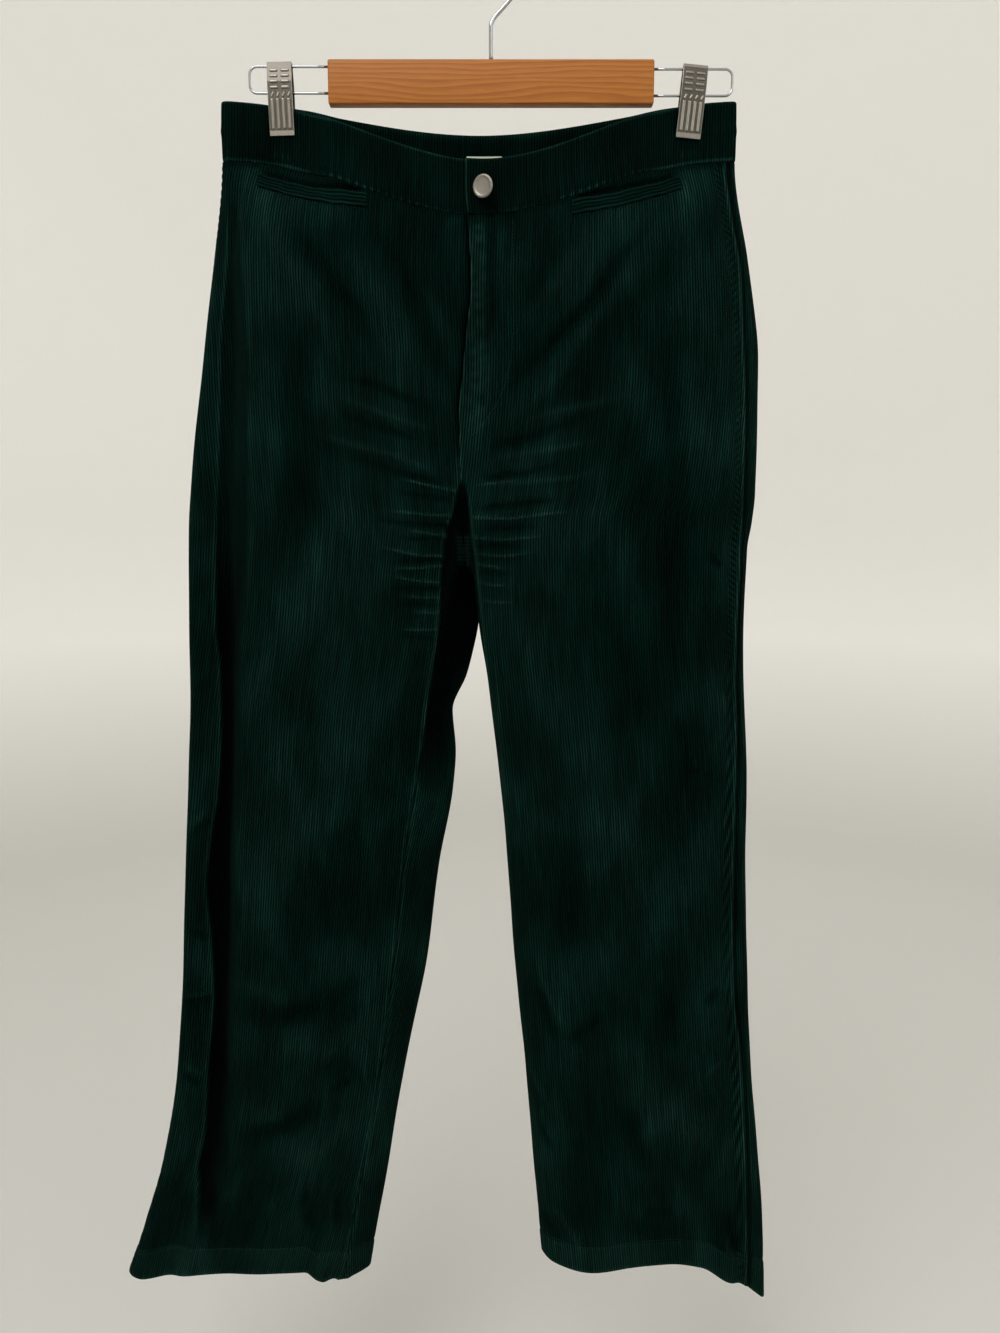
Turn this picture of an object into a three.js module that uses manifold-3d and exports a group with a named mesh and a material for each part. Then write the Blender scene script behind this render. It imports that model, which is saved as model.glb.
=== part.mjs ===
// Corduroy trousers hanging from a wooden clip hanger. Millimetres, +Z up, the front faces -Y.
// The origin is the highest inner point of the hanger's hook, where a rail holds it.
// Right and left are the wearer's: the right half lies on the -X side.

import * as THREE from 'three';
import { mergeVertices } from 'three/addons/utils/BufferGeometryUtils.js';
import Module from 'manifold-3d';

const wasm = await Module();
wasm.setup();

// Cloth thicknesses and clearances
const CLOTH = 1.5;
const BAND_CLOTH = 2.4;
const SEAM_GAP = 0.3;
const HEM = { height: 27, outward: 0.5, inward: 1.1 };

// Heights of the main lines, each at the side of the garment
const BAND_TOP = -120.5;
const BAND_SEAM = -169;
const CROTCH = -493;
const HEM_FOOT = -1195;

// How far the waist hangs below its two ends, half way between the clips
const WAIST_MIDDLE = -10;
const WAIST_HALF = 216.5;
const FRONT_TOP_DROP = { depth: 53, power: 2.9 };
const FRONT_SEAM_DROP = { depth: 50, power: 2.3 };
const BACK_DROP = { depth: 22, power: 2.0 };
const DROP_FADES_AT = -444;

// Centre seams: the front one is also the free edge of the fly. Both reach the crotch point.
const CENTRE_COLUMNS = ['z', 'frontX', 'frontY', 'backX', 'backY'];
const CENTRE_ROWS = [
  [-120, -21, -27, -8, 12],
  [-145, -21, -28, -8, 14],
  [-169, -19.5, -30, -8, 18],
  [-245, -16.5, -34, -9, 28],
  [-288, -20, -35, -10, 29.5],
  [-330, -23.5, -35, -10.5, 31],
  [-375, -27, -34, -12, 31],
  [-421, -26.5, -32, -14, 30],
  [-444, -25.5, -29.5, -16, 28],
  [-460, -25.3, -19, -18, 25.5],
  [-478, -25.1, -4, -21.5, 19],
  [-493, -25, 5, -25, 5],
];

// Cross-sections of one half, from its centre round the side fold to the back.
// outer is the side fold and roll its radius. The valley lies valleyIn from it, the ridge is the
// front's outer corner, foldX the front's inner corner and backX the back's. F is front, B is back.
const SECTION_COLUMNS = ['z', 'outer', 'roll', 'valleyIn', 'valleyF', 'ridge', 'ridgeF', 'midF',
  'foldX', 'foldF', 'ridgeB', 'midB', 'backX', 'backB'];
const RIGHT_SECTIONS = [
  [-120, -226.5, 5, 20, -4.2, -195, -3.6, -16, -60, -26, 3.6, 9, -60, 11],
  [-145, -226.5, 5.2, 20, -4.4, -195, -4, -17, -60, -27, 4, 11, -60, 13],
  [-169, -227, 6, 20, -6.4, -200, -8, -22, -60, -29, 8, 15, -60, 18],
  [-245, -237, 9, 18, -13, -209, -21, -31, -60, -34, 19, 25, -60, 27],
  [-330, -250.5, 11, 28, -11, -206, -27, -33, -60, -35, 24, 29, -60, 30],
  [-444, -266.5, 11, 33, -7, -213, -25, -31, -45, -31, 25, 29, -45, 28],
  [-468, -268.8, 11, 33, -5, -215, -24, -30, -40, -29, 24, 29, -38, 26],
  [-493, -269.8, 10.5, 33, -4, -217, -23, -29, -43, -28, 23, 28, -34, 23],
  [-560, -272, 10, 32, -2, -221, -21, -27, -53, -25, 20, 25, -25, 17],
  [-638, -274, 10, 32, -1, -225, -19, -25, -76, -21.5, 18, 22, -46, 11],
  [-700, -278, 10, 33, -1, -227, -18, -23, -86, -20, 16, 20, -46, 12],
  [-780, -284, 10, 34, -1, -231, -17, -21, -99, -19, 15, 19, -62, 14],
  [-880, -291, 10, 34, -1, -236, -16, -20, -111, -18, 14, 18, -78, 14],
  [-980, -301, 10, 36, -1, -243, -16, -19, -124, -17, 14, 17, -98, 14],
  [-1083, -320.6, 9, 38, -3, -262, -15, -18, -142, -16, 13, 16, -116, 13],
  [-1137, -338, 8.5, 39, -5, -281, -15, -18, -153, -15.5, 12.5, 15.5, -126, 12.5],
  [-1195, -358, 8, 40, -8, -300, -14, -17, -163, -15, 12, 15, -137, 12],
];
const LEFT_SECTIONS = [
  [-120, 206, 5, 17, -4.2, 180, -3.6, -16, 25, -26, 3.6, 9, 40, 11],
  [-145, 206.2, 5.2, 17, -4.4, 180, -4, -17, 25, -27, 4, 11, 40, 13],
  [-169, 206.5, 6, 16, -6.8, 184, -9, -22, 25, -31, 8, 15, 40, 18],
  [-245, 219, 9, 16, -14, 190, -22, -31, 22, -34, 19, 25, 40, 27],
  [-330, 231, 11, 20, -17, 198, -26, -33, 18, -35, 24, 29, 40, 30],
  [-444, 233.5, 11, 19, -17, 203, -25, -31, -5, -31, 24, 29, 22, 28],
  [-468, 231.5, 11, 19, -16, 202, -24, -30, -13, -28, 23.5, 28.5, 12, 26],
  [-493, 228, 10.5, 19, -15, 199, -23, -29, -11, -26, 22, 27, 2, 22],
  [-560, 227.6, 10, 18, -14, 198, -20, -26, -6, -23, 20, 24, 10, 18],
  [-638, 231, 10, 18, -13, 201, -18, -24, 6, -20, 18, 22, 20, 15],
  [-700, 235, 10, 18, -12, 205, -17, -23, 14, -19, 16, 20, 28, 15],
  [-780, 236.5, 10, 19, -11, 207, -16, -21, 24, -18, 15, 19, 36, 14],
  [-880, 241, 10, 21, -11, 211, -15, -20, 32, -17, 14, 18, 45, 14],
  [-980, 248, 10, 24, -11, 216, -15, -19, 42, -16, 14, 17, 55, 13],
  [-1083, 259.7, 9, 27, -11, 225, -15, -18, 50, -15, 13, 16, 63, 13],
  [-1137, 266, 8.5, 28, -11, 229, -14.5, -17.5, 54, -14.5, 12.5, 15.5, 68, 12.5],
  [-1195, 269.5, 8, 29, -10, 232, -14, -17, 60, -14, 12, 15, 73, 12],
];

// Inseams from the crotch point down, with the inner edge of each leg.
// The right leg has turned so that its inseam lies on the front, the left leg so that it lies behind.
const INSEAM_COLUMNS = ['z', 'seamX', 'seamY', 'innerX', 'innerY'];
const RIGHT_INSEAM = [
  [-493, -25, 5, -29, 14],
  [-507, -30, -2, -20.5, 13.5],
  [-525, -36, -8, -14.5, 11.5],
  [-545, -41.5, -14, -12.2, 10],
  [-562, -45, -17, -13, 8.5],
  [-584, -49, -19.5, -17, 6.5],
  [-606, -53, -20.5, -23, 5],
  [-638, -58, -20.5, -36, 1],
  [-676, -63.5, -19.5, -33.5, 1],
  [-708, -69, -19, -36, 1],
  [-780, -80.5, -18.5, -49.3, 0],
  [-880, -92, -17.5, -62.4, 0],
  [-980, -105, -17, -82.7, 0],
  [-1083, -124, -16, -100.6, 0],
  [-1195, -145, -15, -121, 0],
];
const LEFT_INSEAM = [
  [-493, -25, 5, -17, -11],
  [-507, -18, 9.5, -16, -10.6],
  [-525, -11.5, 12, -15, -10],
  [-560, -6, 12.5, -11.5, -9],
  [-610, 1, 11, -4, -8],
  [-668, 10, 10, 3, -7],
  [-716, 15, 10, 8.5, -6],
  [-780, 21, 9, 14, -5],
  [-880, 29, 9, 21.7, -4],
  [-980, 39, 9, 31.5, -4],
  [-1083, 47, 9, 39.6, -3],
  [-1195, 56, 8, 48, -3],
];

// The foot of each leg seen from the front: the height of its edge across the leg
const HEM_COLUMNS = ['x', 'foot'];
const RIGHT_HEM = [[-358, -1205], [-285, -1197], [-200, -1191], [-172, -1203], [-120, -1197]];
const LEFT_HEM = [[46, -1174], [85, -1187], [183, -1184], [222, -1197], [270, -1228]];
const HEM_LINE_STARTS = -1040;

// Large folds pressed into the cloth or standing out of it: from and to on the front or the back
const FOLDS = [
  { half: 'right', face: 'front', from: [-196, -205], to: [-118, -300], reach: 20, height: 3 },
  { half: 'right', face: 'front', from: [-178, -215], to: [-80, -345], reach: 18, height: -2.5 },
  { half: 'right', face: 'front', from: [-120, -455], to: [-45, -425], reach: 22, height: 3 },
  { half: 'right', face: 'front', from: [-130, -520], to: [-48, -520], reach: 22, height: 3 },
  { half: 'right', face: 'front', from: [-262, -960], to: [-150, -1130], reach: 26, height: -3.5 },
  { half: 'right', face: 'front', from: [-215, -905], to: [-125, -1030], reach: 24, height: 3 },
  { half: 'left', face: 'front', from: [172, -205], to: [95, -310], reach: 20, height: 3 },
  { half: 'left', face: 'front', from: [70, -455], to: [0, -425], reach: 22, height: 3 },
  { half: 'left', face: 'front', from: [80, -525], to: [-2, -525], reach: 22, height: 3 },
  { half: 'left', face: 'front', from: [215, -1000], to: [120, -1120], reach: 26, height: 3.5 },
  { half: 'left', face: 'front', from: [48, -1000], to: [92, -1085], reach: 20, height: -3.5 },
  { half: 'left', face: 'front', from: [235, -1120], to: [205, -1175], reach: 20, height: -4 },
  { half: 'right', face: 'back', from: [-225, -330], to: [-60, -470], reach: 26, height: -5 },
  { half: 'right', face: 'back', from: [-215, -455], to: [-50, -535], reach: 24, height: 4.5 },
  { half: 'right', face: 'back', from: [-255, -640], to: [-250, -1100], reach: 26, height: -6 },
  { half: 'right', face: 'back', from: [-150, -900], to: [-240, -1060], reach: 28, height: 4 },
  { half: 'left', face: 'back', from: [200, -340], to: [30, -475], reach: 26, height: -5 },
  { half: 'left', face: 'back', from: [195, -460], to: [30, -540], reach: 24, height: 4.5 },
  { half: 'left', face: 'back', from: [205, -600], to: [215, -1050], reach: 26, height: -5 },
  { half: 'left', face: 'back', from: [90, -920], to: [180, -1070], reach: 28, height: 4 },
];

// The fly: a doubled strip beside the centre, closed by a J of stitching
const FLY = { stitchX: 19, turnsAt: -316, endsX: -24, endsAt: -400, raised: 1.0, edge: 7 };
const OVERLAP = { raised: 1.6, fadesOver: 48 };
const UNDERLAP = { gap: 0.5, length: 38, fadesOver: 34 };

// Pocket welts: slanted strips with ribs along them, from the outer to the inner end
const WELT = { height: 11.5, off: 0.8, thick: 1.6, rib: 0.8, ribs: 4, along: 13, across: 8 };
const WELTS = {
  right: { outer: [-196, -184.5], inner: [-102, -206], sag: 3 },
  left: { outer: [158.5, -187.5], inner: [67, -211.5], sag: 3 },
};

const ZIP = { left: -13, right: 9, top: -228, bottom: -378, thick: 1.1 };
const LABEL = { left: -13, right: 17, top: -157, bottom: -181, thick: 0.5 };
const BUTTON = {
  x: -4.8, z: -197.7, radius: 10.2, thick: 2.6, stud: 3.2, shank: 2.2, turn: -0.36, nod: -0.1, off: 2,
};

// The hanger
const BAR = { length: 272, height: 35, depth: 10.5, top: -88, round: 1.6 };
const HOOK = {
  wire: 1.8,
  radius: 24,
  lean: THREE.MathUtils.degToRad(43),
  turn: THREE.MathUtils.degToRad(258),
};
const LOOP = { wire: 1.1, end: 203, height: 20.8, corner: 6 };
const LOOP_TOPS = { right: -92.2, left: -94.2 };
const CLIPS = {
  right: { x: -175.4, lean: THREE.MathUtils.degToRad(-1.5) },
  left: { x: 166.6, lean: THREE.MathUtils.degToRad(5.6) },
};
const CLIP = { width: 20.5, bottom: -148.5, jaw: 4.2, plate: 1 };
// Across a clip and down from its bend: half of its profile, inside and outside
const CLIP_INSIDE = [
  [0, -89.9], [1.6, -90.5], [2.4, -92.6], [3.4, -98], [4.9, -106], [4.9, -120], [4.3, -136],
  [CLIP.jaw, CLIP.bottom],
];
const CLIP_OUTSIDE = [
  [0, -88.8], [2.1, -89.4], [3.4, -92], [4.5, -98], [6, -106], [6, -120], [5.4, -136],
  [CLIP.jaw + CLIP.plate, CLIP.bottom],
];
const RIB = {
  count: 4, pitch: 4.6, width: 1.6, deep: 1.4, length: 24, middle: -131.5, bar: 6.6, barsFrom: -97,
};
const PINCH = { y: 3.5, flat: 13.5, fadesOver: 36, low: -152, fadesTo: -205 };

const COLOURS = {
  cloth: '#04281f',
  welt: '#052c22',
  metal: '#8b8a86',
  chrome: '#c4c6c8',
  wood: '#c9853f',
  label: '#d9d6c6',
  zip: '#0a2a22',
};

// A table of rows under named columns, read at any height with monotone curves between its rows
function curves(columns, rows) {
  const keys = rows.map((row) => row[0]);
  const forward = keys[keys.length - 1] > keys[0] ? 1 : -1;
  const at = {};
  columns.slice(1).forEach((name, index) => {
    const values = rows.map((row) => row[index + 1]);
    const steps = keys.slice(1).map((key, i) => forward * (key - keys[i]));
    const rises = steps.map((step, i) => (values[i + 1] - values[i]) / step);
    const slopes = values.map((_, i) => {
      if (i === 0) return rises[0];
      if (i === values.length - 1) return rises[i - 1];
      if (rises[i - 1] * rises[i] <= 0) return 0;
      return (2 * rises[i - 1] * rises[i]) / (rises[i - 1] + rises[i]);
    });
    at[name] = (key) => {
      const place = forward * (key - keys[0]);
      let i = 0;
      while (i < steps.length - 1 && place > forward * (keys[i + 1] - keys[0])) i += 1;
      const h = steps[i];
      const t = THREE.MathUtils.clamp((place - forward * (keys[i] - keys[0])) / h, 0, 1);
      const rest = (1 - t) * (1 - t);
      return (1 + 2 * t) * rest * values[i] + t * rest * h * slopes[i]
        + t * t * (3 - 2 * t) * values[i + 1] - t * t * (1 - t) * h * slopes[i + 1];
    };
  });
  return at;
}

const centre = curves(CENTRE_COLUMNS, CENTRE_ROWS);
const HALVES = {
  right: {
    name: 'right',
    section: curves(SECTION_COLUMNS, RIGHT_SECTIONS),
    inseam: curves(INSEAM_COLUMNS, RIGHT_INSEAM),
    hem: curves(HEM_COLUMNS, RIGHT_HEM),
    inward: 1,
    turn: 1,
    frontCells: [3, 4, 4, 2, 2, 2, 2],
    backCells: [3, 3, 3, 2, 2],
  },
  left: {
    name: 'left',
    section: curves(SECTION_COLUMNS, LEFT_SECTIONS),
    inseam: curves(INSEAM_COLUMNS, LEFT_INSEAM),
    hem: curves(HEM_COLUMNS, LEFT_HEM),
    inward: -1,
    turn: -1,
    frontCells: [2, 2, 4, 4, 2, 2],
    backCells: [2, 2, 3, 3, 3, 3],
  },
};

// The named points of one cross-section, in order from the front seam round the side to the back seam
function sectionPoints(half, z) {
  const s = (name) => half.section[name](z);
  const outer = s('outer');
  const roll = s('roll');
  const ridge = s('ridge');
  const foldX = s('foldX');
  const backX = s('backX');
  const point = (x, y) => new THREE.Vector3(x, y, 0);
  const fold = point(foldX, s('foldF'));
  const back = point(backX, s('backB'));
  const leg = z <= CROTCH;
  const seamFront = leg
    ? point(half.inseam.seamX(z), half.inseam.seamY(z))
    : point(centre.frontX(z), centre.frontY(z));
  const seamBack = leg ? seamFront.clone() : point(centre.backX(z), centre.backY(z));
  const side = [
    point(outer + half.inward * s('valleyIn'), s('valleyF')),
    point(outer + half.inward * 0.5 * roll, -0.87 * roll),
    point(outer, 0),
    point(outer + half.inward * 0.5 * roll, 0.87 * roll),
  ];
  const front = [fold, point((foldX + ridge) / 2, s('midF')), point(ridge, s('ridgeF')), ...side];
  const behind = [point(ridge, s('ridgeB')), point((backX + ridge) / 2, s('midB')), back];
  if (half.name === 'right') {
    const inner = leg
      ? point(half.inseam.innerX(z), half.inseam.innerY(z))
      : back.clone().lerp(seamBack, 0.5);
    return [seamFront, ...front, ...behind, inner, seamBack];
  }
  const inner = leg
    ? point(half.inseam.innerX(z), half.inseam.innerY(z))
    : fold.clone().lerp(seamFront, 0.5);
  return [seamFront, inner, ...front, ...behind, seamBack];
}

function smooth(t) {
  const c = THREE.MathUtils.clamp(t, 0, 1);
  return c * c * (3 - 2 * c);
}

// One row of points round a half: cells between each two named points, spaced along the curve
function sectionRow(half, z) {
  const named = sectionPoints(half, z);
  const curve = new THREE.CatmullRomCurve3(named, false, 'centripetal');
  const cells = [...half.frontCells, ...half.backCells];
  const row = [named[0]];
  cells.forEach((count, i) => {
    for (let k = 1; k <= count; k += 1) row.push(curve.getPoint((i + k / count) / cells.length));
  });
  return row;
}

const sum = (numbers) => numbers.reduce((total, value) => total + value, 0);
const frontCount = (half) => sum(half.frontCells);

function drop(shape, x) {
  const away = Math.min(1, Math.abs(x - WAIST_MIDDLE) / WAIST_HALF);
  return shape.depth * Math.cos((away * Math.PI) / 2) ** shape.power;
}

// The clips press the front and the back of the waist together
function pinched(point, level) {
  Object.values(CLIPS).forEach((clip) => {
    const across = 1 - smooth((Math.abs(point.x - clip.x) - PINCH.flat) / PINCH.fadesOver);
    const down = 1 - smooth((PINCH.low - level) / (PINCH.low - PINCH.fadesTo));
    point.y = THREE.MathUtils.lerp(point.y, Math.sign(point.y) * PINCH.y, across * down);
  });
  return point;
}

// Levels of the rows down the panels: even steps, with a close pair where the hem begins
const TORSO_STEPS = 11;
const LEG_STEPS = 18;
const LEVELS = [];
for (let i = 0; i < TORSO_STEPS; i += 1) LEVELS.push(THREE.MathUtils.lerp(BAND_SEAM, CROTCH, i / TORSO_STEPS));
for (let i = 0; i <= LEG_STEPS; i += 1) {
  LEVELS.push(THREE.MathUtils.lerp(CROTCH, HEM_FOOT + HEM.height + 2, i / LEG_STEPS));
}
LEVELS.push(HEM_FOOT + HEM.height, HEM_FOOT);

// How far a point stands out because of the fold lines near it
function foldHeight(half, face, x, z) {
  let height = 0;
  FOLDS.filter((fold) => fold.half === half.name && fold.face === face).forEach((fold) => {
    const from = new THREE.Vector2(...fold.from);
    const along = new THREE.Vector2(...fold.to).sub(from);
    const t = new THREE.Vector2(x, z).sub(from).dot(along) / along.lengthSq();
    const nearest = from.clone().addScaledVector(along, THREE.MathUtils.clamp(t, 0, 1));
    const away = nearest.distanceTo(new THREE.Vector2(x, z)) / fold.reach;
    const ends = Math.sin(Math.PI * THREE.MathUtils.clamp(t, 0, 1)) ** 0.7;
    if (away < 1) height += fold.height * ends * (1 - smooth(away));
  });
  return height;
}

function flyHeight(x, z) {
  if (z < FLY.endsAt) return 0;
  const turned = Math.max(0, FLY.turnsAt - z) / (FLY.turnsAt - FLY.endsAt);
  const edge = FLY.endsX + (FLY.stitchX - FLY.endsX) * Math.sqrt(Math.max(0, 1 - turned * turned));
  return FLY.raised * smooth((edge + FLY.edge - x) / FLY.edge) * smooth((z - FLY.endsAt) / 20);
}

// Outward directions at the points of a grid of rows
function normals(rows, turn, closedFrom) {
  return rows.map((row, j) => row.map((_, i) => {
    const last = row.length - 1;
    const closed = j >= closedFrom;
    const before = closed && i === 0 ? row[last - 1] : row[Math.max(0, i - 1)];
    const after = closed && i === last ? row[1] : row[Math.min(last, i + 1)];
    const above = rows[Math.max(0, j - 1)][i];
    const below = rows[Math.min(rows.length - 1, j + 1)][i];
    const along = after.clone().sub(before);
    return along.cross(below.clone().sub(above)).multiplyScalar(turn).normalize();
  }));
}

const crotchRow = TORSO_STEPS;

// The cloth of one half as a grid of outer points with their outward directions
function halfGrid(half) {
  const columns = sum(half.frontCells) + sum(half.backCells);
  const rows = LEVELS.map((level) => {
    const share = (from, to) => THREE.MathUtils.clamp((level - from) / (to - from), 0, 1);
    const fading = share(DROP_FADES_AT, BAND_SEAM) ** 1.6;
    const hemming = share(HEM_LINE_STARTS, HEM_FOOT) ** 2;
    return sectionRow(half, level).map((point, i) => {
      const isFront = i <= frontCount(half);
      const lowered = drop(isFront ? FRONT_SEAM_DROP : BACK_DROP, point.x) * fading;
      const foot = (half.hem.foot(point.x) - HEM_FOOT) * hemming;
      return pinched(new THREE.Vector3(point.x, point.y, level - lowered + foot), level);
    });
  });
  const plain = normals(rows, half.turn, crotchRow);
  rows.forEach((row, j) => row.forEach((point, i) => {
    const isFront = point.y < 0 && i <= frontCount(half);
    let out = 0;
    if (i > 0 && i < columns) out += foldHeight(half, isFront ? 'front' : 'back', point.x, point.z);
    if (half.name === 'left' && i <= frontCount(half)) out += flyHeight(point.x, point.z);
    if (LEVELS[j] <= HEM_FOOT + HEM.height) out += HEM.outward;
    point.addScaledVector(plain[j][i], out);
  }));
  const outward = normals(rows, half.turn, crotchRow);
  // Above the crotch the two halves meet, and neither leans across the seam
  for (let j = 0; j < crotchRow; j += 1) {
    [0, columns].forEach((i) => {
      const n = outward[j][i];
      n.x = half.inward * Math.max(0, half.inward * n.x);
      n.normalize();
    });
  }
  return { rows, outward };
}

// A wall between two grids of the same size, closed round its rim
function wall(outer, inner, turn) {
  const high = outer.length;
  const wide = outer[0].length;
  const positions = [];
  [...outer, ...inner].forEach((row) => row.forEach((p) => positions.push(p.x, p.y, p.z)));
  const id = (side, j, i) => side * high * wide + j * wide + i;
  const index = [];
  const quad = (a, b, c, d) => {
    if (turn > 0) index.push(a, b, c, a, c, d);
    else index.push(a, c, b, a, d, c);
  };
  for (let j = 0; j < high - 1; j += 1) {
    for (let i = 0; i < wide - 1; i += 1) {
      quad(id(0, j, i), id(0, j, i + 1), id(0, j + 1, i + 1), id(0, j + 1, i));
      quad(id(1, j, i), id(1, j + 1, i), id(1, j + 1, i + 1), id(1, j, i + 1));
    }
  }
  for (let i = 0; i < wide - 1; i += 1) {
    quad(id(0, 0, i), id(1, 0, i), id(1, 0, i + 1), id(0, 0, i + 1));
    quad(id(0, high - 1, i), id(0, high - 1, i + 1), id(1, high - 1, i + 1), id(1, high - 1, i));
  }
  for (let j = 0; j < high - 1; j += 1) {
    quad(id(0, j, 0), id(0, j + 1, 0), id(1, j + 1, 0), id(1, j, 0));
    quad(id(0, j, wide - 1), id(1, j, wide - 1), id(1, j + 1, wide - 1), id(0, j + 1, wide - 1));
  }
  const geometry = new THREE.BufferGeometry();
  geometry.setAttribute('position', new THREE.Float32BufferAttribute(positions, 3));
  geometry.setIndex(index);
  return geometry;
}

// Draws the first and last points of each row back from a seam
function trimmed(row, gap) {
  const last = row.length - 1;
  const start = row[0].clone().add(row[1].clone().sub(row[0]).setLength(gap));
  const end = row[last].clone().add(row[last - 1].clone().sub(row[last]).setLength(gap));
  return [start, ...row.slice(1, last), end];
}

function moved(rows, outward, distance) {
  return rows.map((row, j) => row.map((p, i) => p.clone().addScaledVector(outward[j][i], distance(j, i))));
}

function panel(half, grid, from, to) {
  const part = (rows) => rows.map((row) => row.slice(from, to + 1));
  const rows = part(grid.rows);
  const outward = part(grid.outward);
  const thickness = (j) => (LEVELS[j] <= HEM_FOOT + HEM.height ? -CLOTH - HEM.inward : -CLOTH);
  const inner = moved(rows, outward, thickness).map((row) => trimmed(row, SEAM_GAP / 2));
  return wall(rows.map((row) => trimmed(row, SEAM_GAP / 2)), inner, half.turn);
}

// Waistband rows run from its top edge to just above the seam with the panels
const BAND_STEPS = 4;

function bandRows(half) {
  const rows = [];
  for (let k = 0; k <= BAND_STEPS; k += 1) {
    const share = k / BAND_STEPS;
    const level = THREE.MathUtils.lerp(BAND_TOP, BAND_SEAM + SEAM_GAP, share);
    rows.push(sectionRow(half, level).map((point, i) => {
      const isFront = i <= frontCount(half);
      const topDrop = drop(isFront ? FRONT_TOP_DROP : BACK_DROP, point.x);
      const seamDrop = drop(isFront ? FRONT_SEAM_DROP : BACK_DROP, point.x);
      const z = level - THREE.MathUtils.lerp(topDrop, seamDrop, share);
      return pinched(new THREE.Vector3(point.x, point.y, z), level);
    }));
  }
  return { rows, outward: normals(rows, half.turn, rows.length) };
}

function sliced(grid, from, to) {
  return {
    rows: grid.rows.map((row) => row.slice(from, to + 1)),
    outward: grid.outward.map((row) => row.slice(from, to + 1)),
  };
}

function bandWall(grid, turn, outwardBy) {
  const outer = moved(grid.rows, grid.outward, outwardBy);
  const inner = moved(grid.rows, grid.outward, (j, i) => outwardBy(j, i) - BAND_CLOTH);
  return wall(
    outer.map((row) => trimmed(row, SEAM_GAP / 2)),
    inner.map((row) => trimmed(row, SEAM_GAP / 2)),
    turn,
  );
}

const rightBand = bandRows(HALVES.right);
const leftBand = bandRows(HALVES.left);
const OVERLAP_EDGE = CENTRE_ROWS[0][1];

function overlapHeight(x) {
  return OVERLAP.raised * (1 - smooth((x - OVERLAP_EDGE) / OVERLAP.fadesOver));
}

function leftFrontBand() {
  const grid = sliced(leftBand, 0, frontCount(HALVES.left));
  // The lower corner of the overlap is rounded off
  const last = grid.rows.length - 1;
  grid.rows[last][0].z += 4;
  grid.rows[last][0].x += 3;
  grid.rows[last - 1][0].x += 0.6;
  return bandWall(grid, HALVES.left.turn, (j, i) => overlapHeight(grid.rows[j][i].x));
}

// The right band sinks towards the centre and runs on behind the left one as the underlap
function rightFrontBand() {
  const own = sliced(rightBand, 0, frontCount(HALVES.right));
  const behind = sliced(leftBand, 1, frontCount(HALVES.left));
  const count = behind.rows[0].filter((p) => p.x < OVERLAP_EDGE + UNDERLAP.length).length;
  const rows = own.rows.map((row, j) => [...behind.rows[j].slice(0, count).reverse(), ...row]);
  const outward = own.outward.map((row, j) => [...behind.outward[j].slice(0, count).reverse(), ...row]);
  const sink = (j, i) => {
    const { x } = rows[j][i];
    const near = 1 - smooth((OVERLAP_EDGE - x) / UNDERLAP.fadesOver);
    return near * (overlapHeight(x) - BAND_CLOTH - UNDERLAP.gap);
  };
  return bandWall({ rows, outward }, HALVES.right.turn, sink);
}

// One band runs across the whole back, from side seam to side seam
function backBand() {
  const right = sliced(rightBand, frontCount(HALVES.right), rightBand.rows[0].length - 1);
  const left = sliced(leftBand, frontCount(HALVES.left), leftBand.rows[0].length - 1);
  const joined = (own, other) => own.map((row, j) => [...row, ...other[j].slice(0, -1).reverse()]);
  return { rows: joined(right.rows, left.rows), outward: joined(right.outward, left.outward) };
}

const backBandGrid = backBand();

// The point of a grid at a given x and z, with its outward direction
function pointAt(grid, from, to, x, z) {
  const area = (a, b, c) => (b.x - a.x) * (c.z - a.z) - (c.x - a.x) * (b.z - a.z);
  const target = { x, z };
  for (let j = 0; j < grid.rows.length - 1; j += 1) {
    for (let i = from; i < to; i += 1) {
      const corners = [[j, i], [j, i + 1], [j + 1, i + 1], [j + 1, i]];
      for (const triple of [[0, 1, 2], [0, 2, 3]]) {
        const ids = triple.map((k) => corners[k]);
        const [a, b, c] = ids.map(([r, k]) => grid.rows[r][k]);
        const whole = area(a, b, c);
        const shares = [area(target, b, c) / whole, area(a, target, c) / whole, area(a, b, target) / whole];
        if (Math.min(...shares) >= -1e-6) {
          const mix = (list) => ids.reduce(
            (total, [r, k], n) => total.addScaledVector(list[r][k], shares[n]),
            new THREE.Vector3(),
          );
          return { point: mix(grid.rows), outward: mix(grid.outward).normalize() };
        }
      }
    }
  }
  throw new Error(`no cloth at ${x}, ${z}`);
}

// A patch that lies on a grid: its rows are given as x and z, its faces stand off by near and far
function patch(grid, from, to, places, near, far, turn) {
  const found = places.map((row) => row.map(([x, z]) => pointAt(grid, from, to, x, z)));
  const rows = found.map((row) => row.map((f) => f.point));
  const outward = found.map((row) => row.map((f) => f.outward));
  return wall(moved(rows, outward, far), moved(rows, outward, near), turn);
}

function welt(half, grid, line) {
  const [fromX, fromZ] = line.outer;
  const [toX, toZ] = line.inner;
  const places = [];
  for (let k = 0; k <= WELT.across; k += 1) {
    const row = [];
    for (let i = 0; i <= WELT.along; i += 1) {
      const t = i / WELT.along;
      const middle = THREE.MathUtils.lerp(fromZ, toZ, t) - line.sag * Math.sin(Math.PI * t);
      row.push([THREE.MathUtils.lerp(fromX, toX, t), middle + WELT.height * (0.5 - k / WELT.across)]);
    }
    places.push(row);
  }
  const ribbed = (j) => WELT.off + WELT.thick
    + WELT.rib * (Math.abs(Math.sin((Math.PI * WELT.ribs * j) / WELT.across)) - 0.5);
  return patch(grid, 0, frontCount(half), places, () => WELT.off, ribbed, -half.turn);
}

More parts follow.
